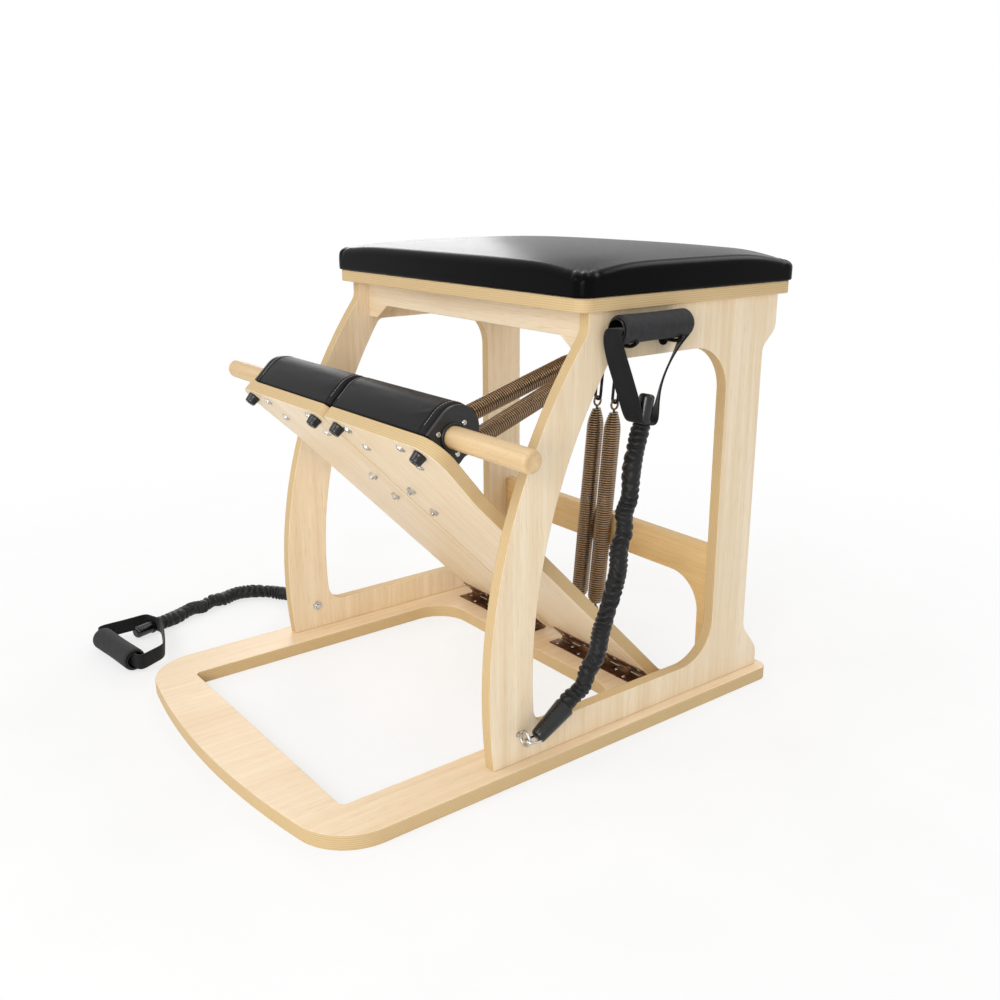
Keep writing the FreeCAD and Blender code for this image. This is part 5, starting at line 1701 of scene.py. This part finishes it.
# Finish of each kept node that has a copy on both sides
KEPT_FINISHES = {
    "hinge_base_leaf": "hinge_steel_finish", "hinge_pedal_leaf": "hinge_steel_finish",
    "hinge_pin": "hinge_steel_finish", "pad_flange": "black_plate_finish",
    "spring_eye_bolts": "zinc_steel_finish", "band_eye_bolt": "zinc_steel_finish",
    "handle_hooks": "black_steel_finish"}


@dataclass
class Fittings:
    """Small parts: bumpers, bolts, hinge screws, flange rings and the kept hardware."""

    bumper_spots: tuple[float, ...] = (0.031, 0.222)
    bumper_stations: tuple[float, ...] = (0.571,)
    bolt_spots: tuple[float, ...] = (0.053, 0.178)
    bolt_stations: tuple[float, ...] = (0.570, 0.532)
    rod_station: float = 0.554
    rod_height: float = 0.041
    flange_face: float = 0.230
    flange_girth: float = 0.1
    screw_ring: float = 0.022
    screw_angles: tuple[float, ...] = (90.0, 210.0, 330.0)
    hinge_start: float = 0.024
    hinge_length: float = 0.202
    leaf_screws: int = 8
    leaf_rows: tuple[float, float] = (0.0225, 0.0125)
    leaf_top: float = 0.0214
    leaf_thick: float = 0.0014

    def build(self, finishes: Finishes) -> None:
        """Make the fittings of both pedals and finish the kept nodes.

        Args:
            finishes: The chair's materials.
        """
        for side in Side:
            body, down, out = side.name_of("pedal"), -PEDAL.outward, side.value * SIDEWAYS
            stops = self.under(side, self.bumper_spots, self.bumper_stations)
            nuts = self.under(side, self.bolt_spots, self.bolt_stations)
            BUMPER.build(side, body, finishes, stops, down)
            BUMPER_BOLT.build(side, body, finishes, stops, down)
            PAD_NUT.build(side, body, finishes, nuts, down)
            ring = bored_piece(side.name_of("flange_ring"), np.array(FLANGE_RING),
                               self.on_plate(side, np.zeros(1)), out, self.flange_girth)
            settle(ring, body, "black_plate", finishes["black_plate_finish"])
            turn = np.radians(self.screw_angles)
            PLATE_SCREW.build(side, body, finishes, self.on_plate(side, turn, self.screw_ring), out)
            x, back = self.leaf_places(side, 0)
            feet = np.stack([x, PEDAL.hinge_y - back, np.full(len(x), self.leaf_top)], -1)
            BASE_LEAF_SCREW.build(side, "frame", finishes, feet, UPRIGHT)
            x, station = self.leaf_places(side, 1)
            feet = PEDAL.points(x, station, np.array(-self.leaf_thick))
            PEDAL_LEAF_SCREW.build(side, body, finishes, feet, down)
            for stem, finish in KEPT_FINISHES.items():
                coat(side.name_of(stem), finishes[finish])
        coat("spring_anchor_eyes", finishes["black_steel_finish"])
        coat("lock_rod", finishes["beech_rod_finish"])

    def under(self, side: Side, spots: tuple[float, ...],
              stations: tuple[float, ...]) -> np.ndarray:
        """Places under a pedal for every spot across and station."""
        x, station = np.meshgrid(np.array(spots) * side.value, np.array(stations))
        return PEDAL.points(x.ravel(), station.ravel(), np.zeros(x.size))

    def on_plate(self, side: Side, turn: np.ndarray, radius: float = 0.0) -> np.ndarray:
        """Places on the end plate at angles and a radius round the rod."""
        return PEDAL.points(np.array(side.value * self.flange_face),
                            self.rod_station + radius * np.cos(turn),
                            self.rod_height + radius * np.sin(turn))

    def leaf_places(self, side: Side, first: int) -> tuple[np.ndarray, np.ndarray]:
        """Places of a leaf's screws, by turns in two rows, so that folded leaves clear.

        Args:
            side: Side of the chair.
            first: 0 to start in the far row, 1 in the near one.

        Returns:
            Places across, and distances from the hinge line.
        """
        number = np.arange(self.leaf_screws)
        x = self.hinge_start + self.hinge_length * (number + 0.5) / self.leaf_screws
        return side.value * x, np.array(self.leaf_rows)[(number + first) % 2]


def main() -> None:
    """Build the studio, then the chair from its cords to its fittings."""
    logging.basicConfig(level=logging.INFO, format="%(name)s: %(message)s")
    Studio().build()
    finishes = Finishes()
    Band(Side.RIGHT, RIGHT_ROUTE, SIDEWAYS, "medium", "hanging").build(finishes)
    Band(Side.LEFT, LEFT_ROUTE, UPRIGHT, "medium", "loose").build(finishes)
    Boards().build(finishes)
    Cushion().build(finishes)
    for side in Side:
        Pad(side).build(finishes)
    Springs().build(finishes)
    Fittings().build(finishes)


if __name__ == "__main__":
    main()
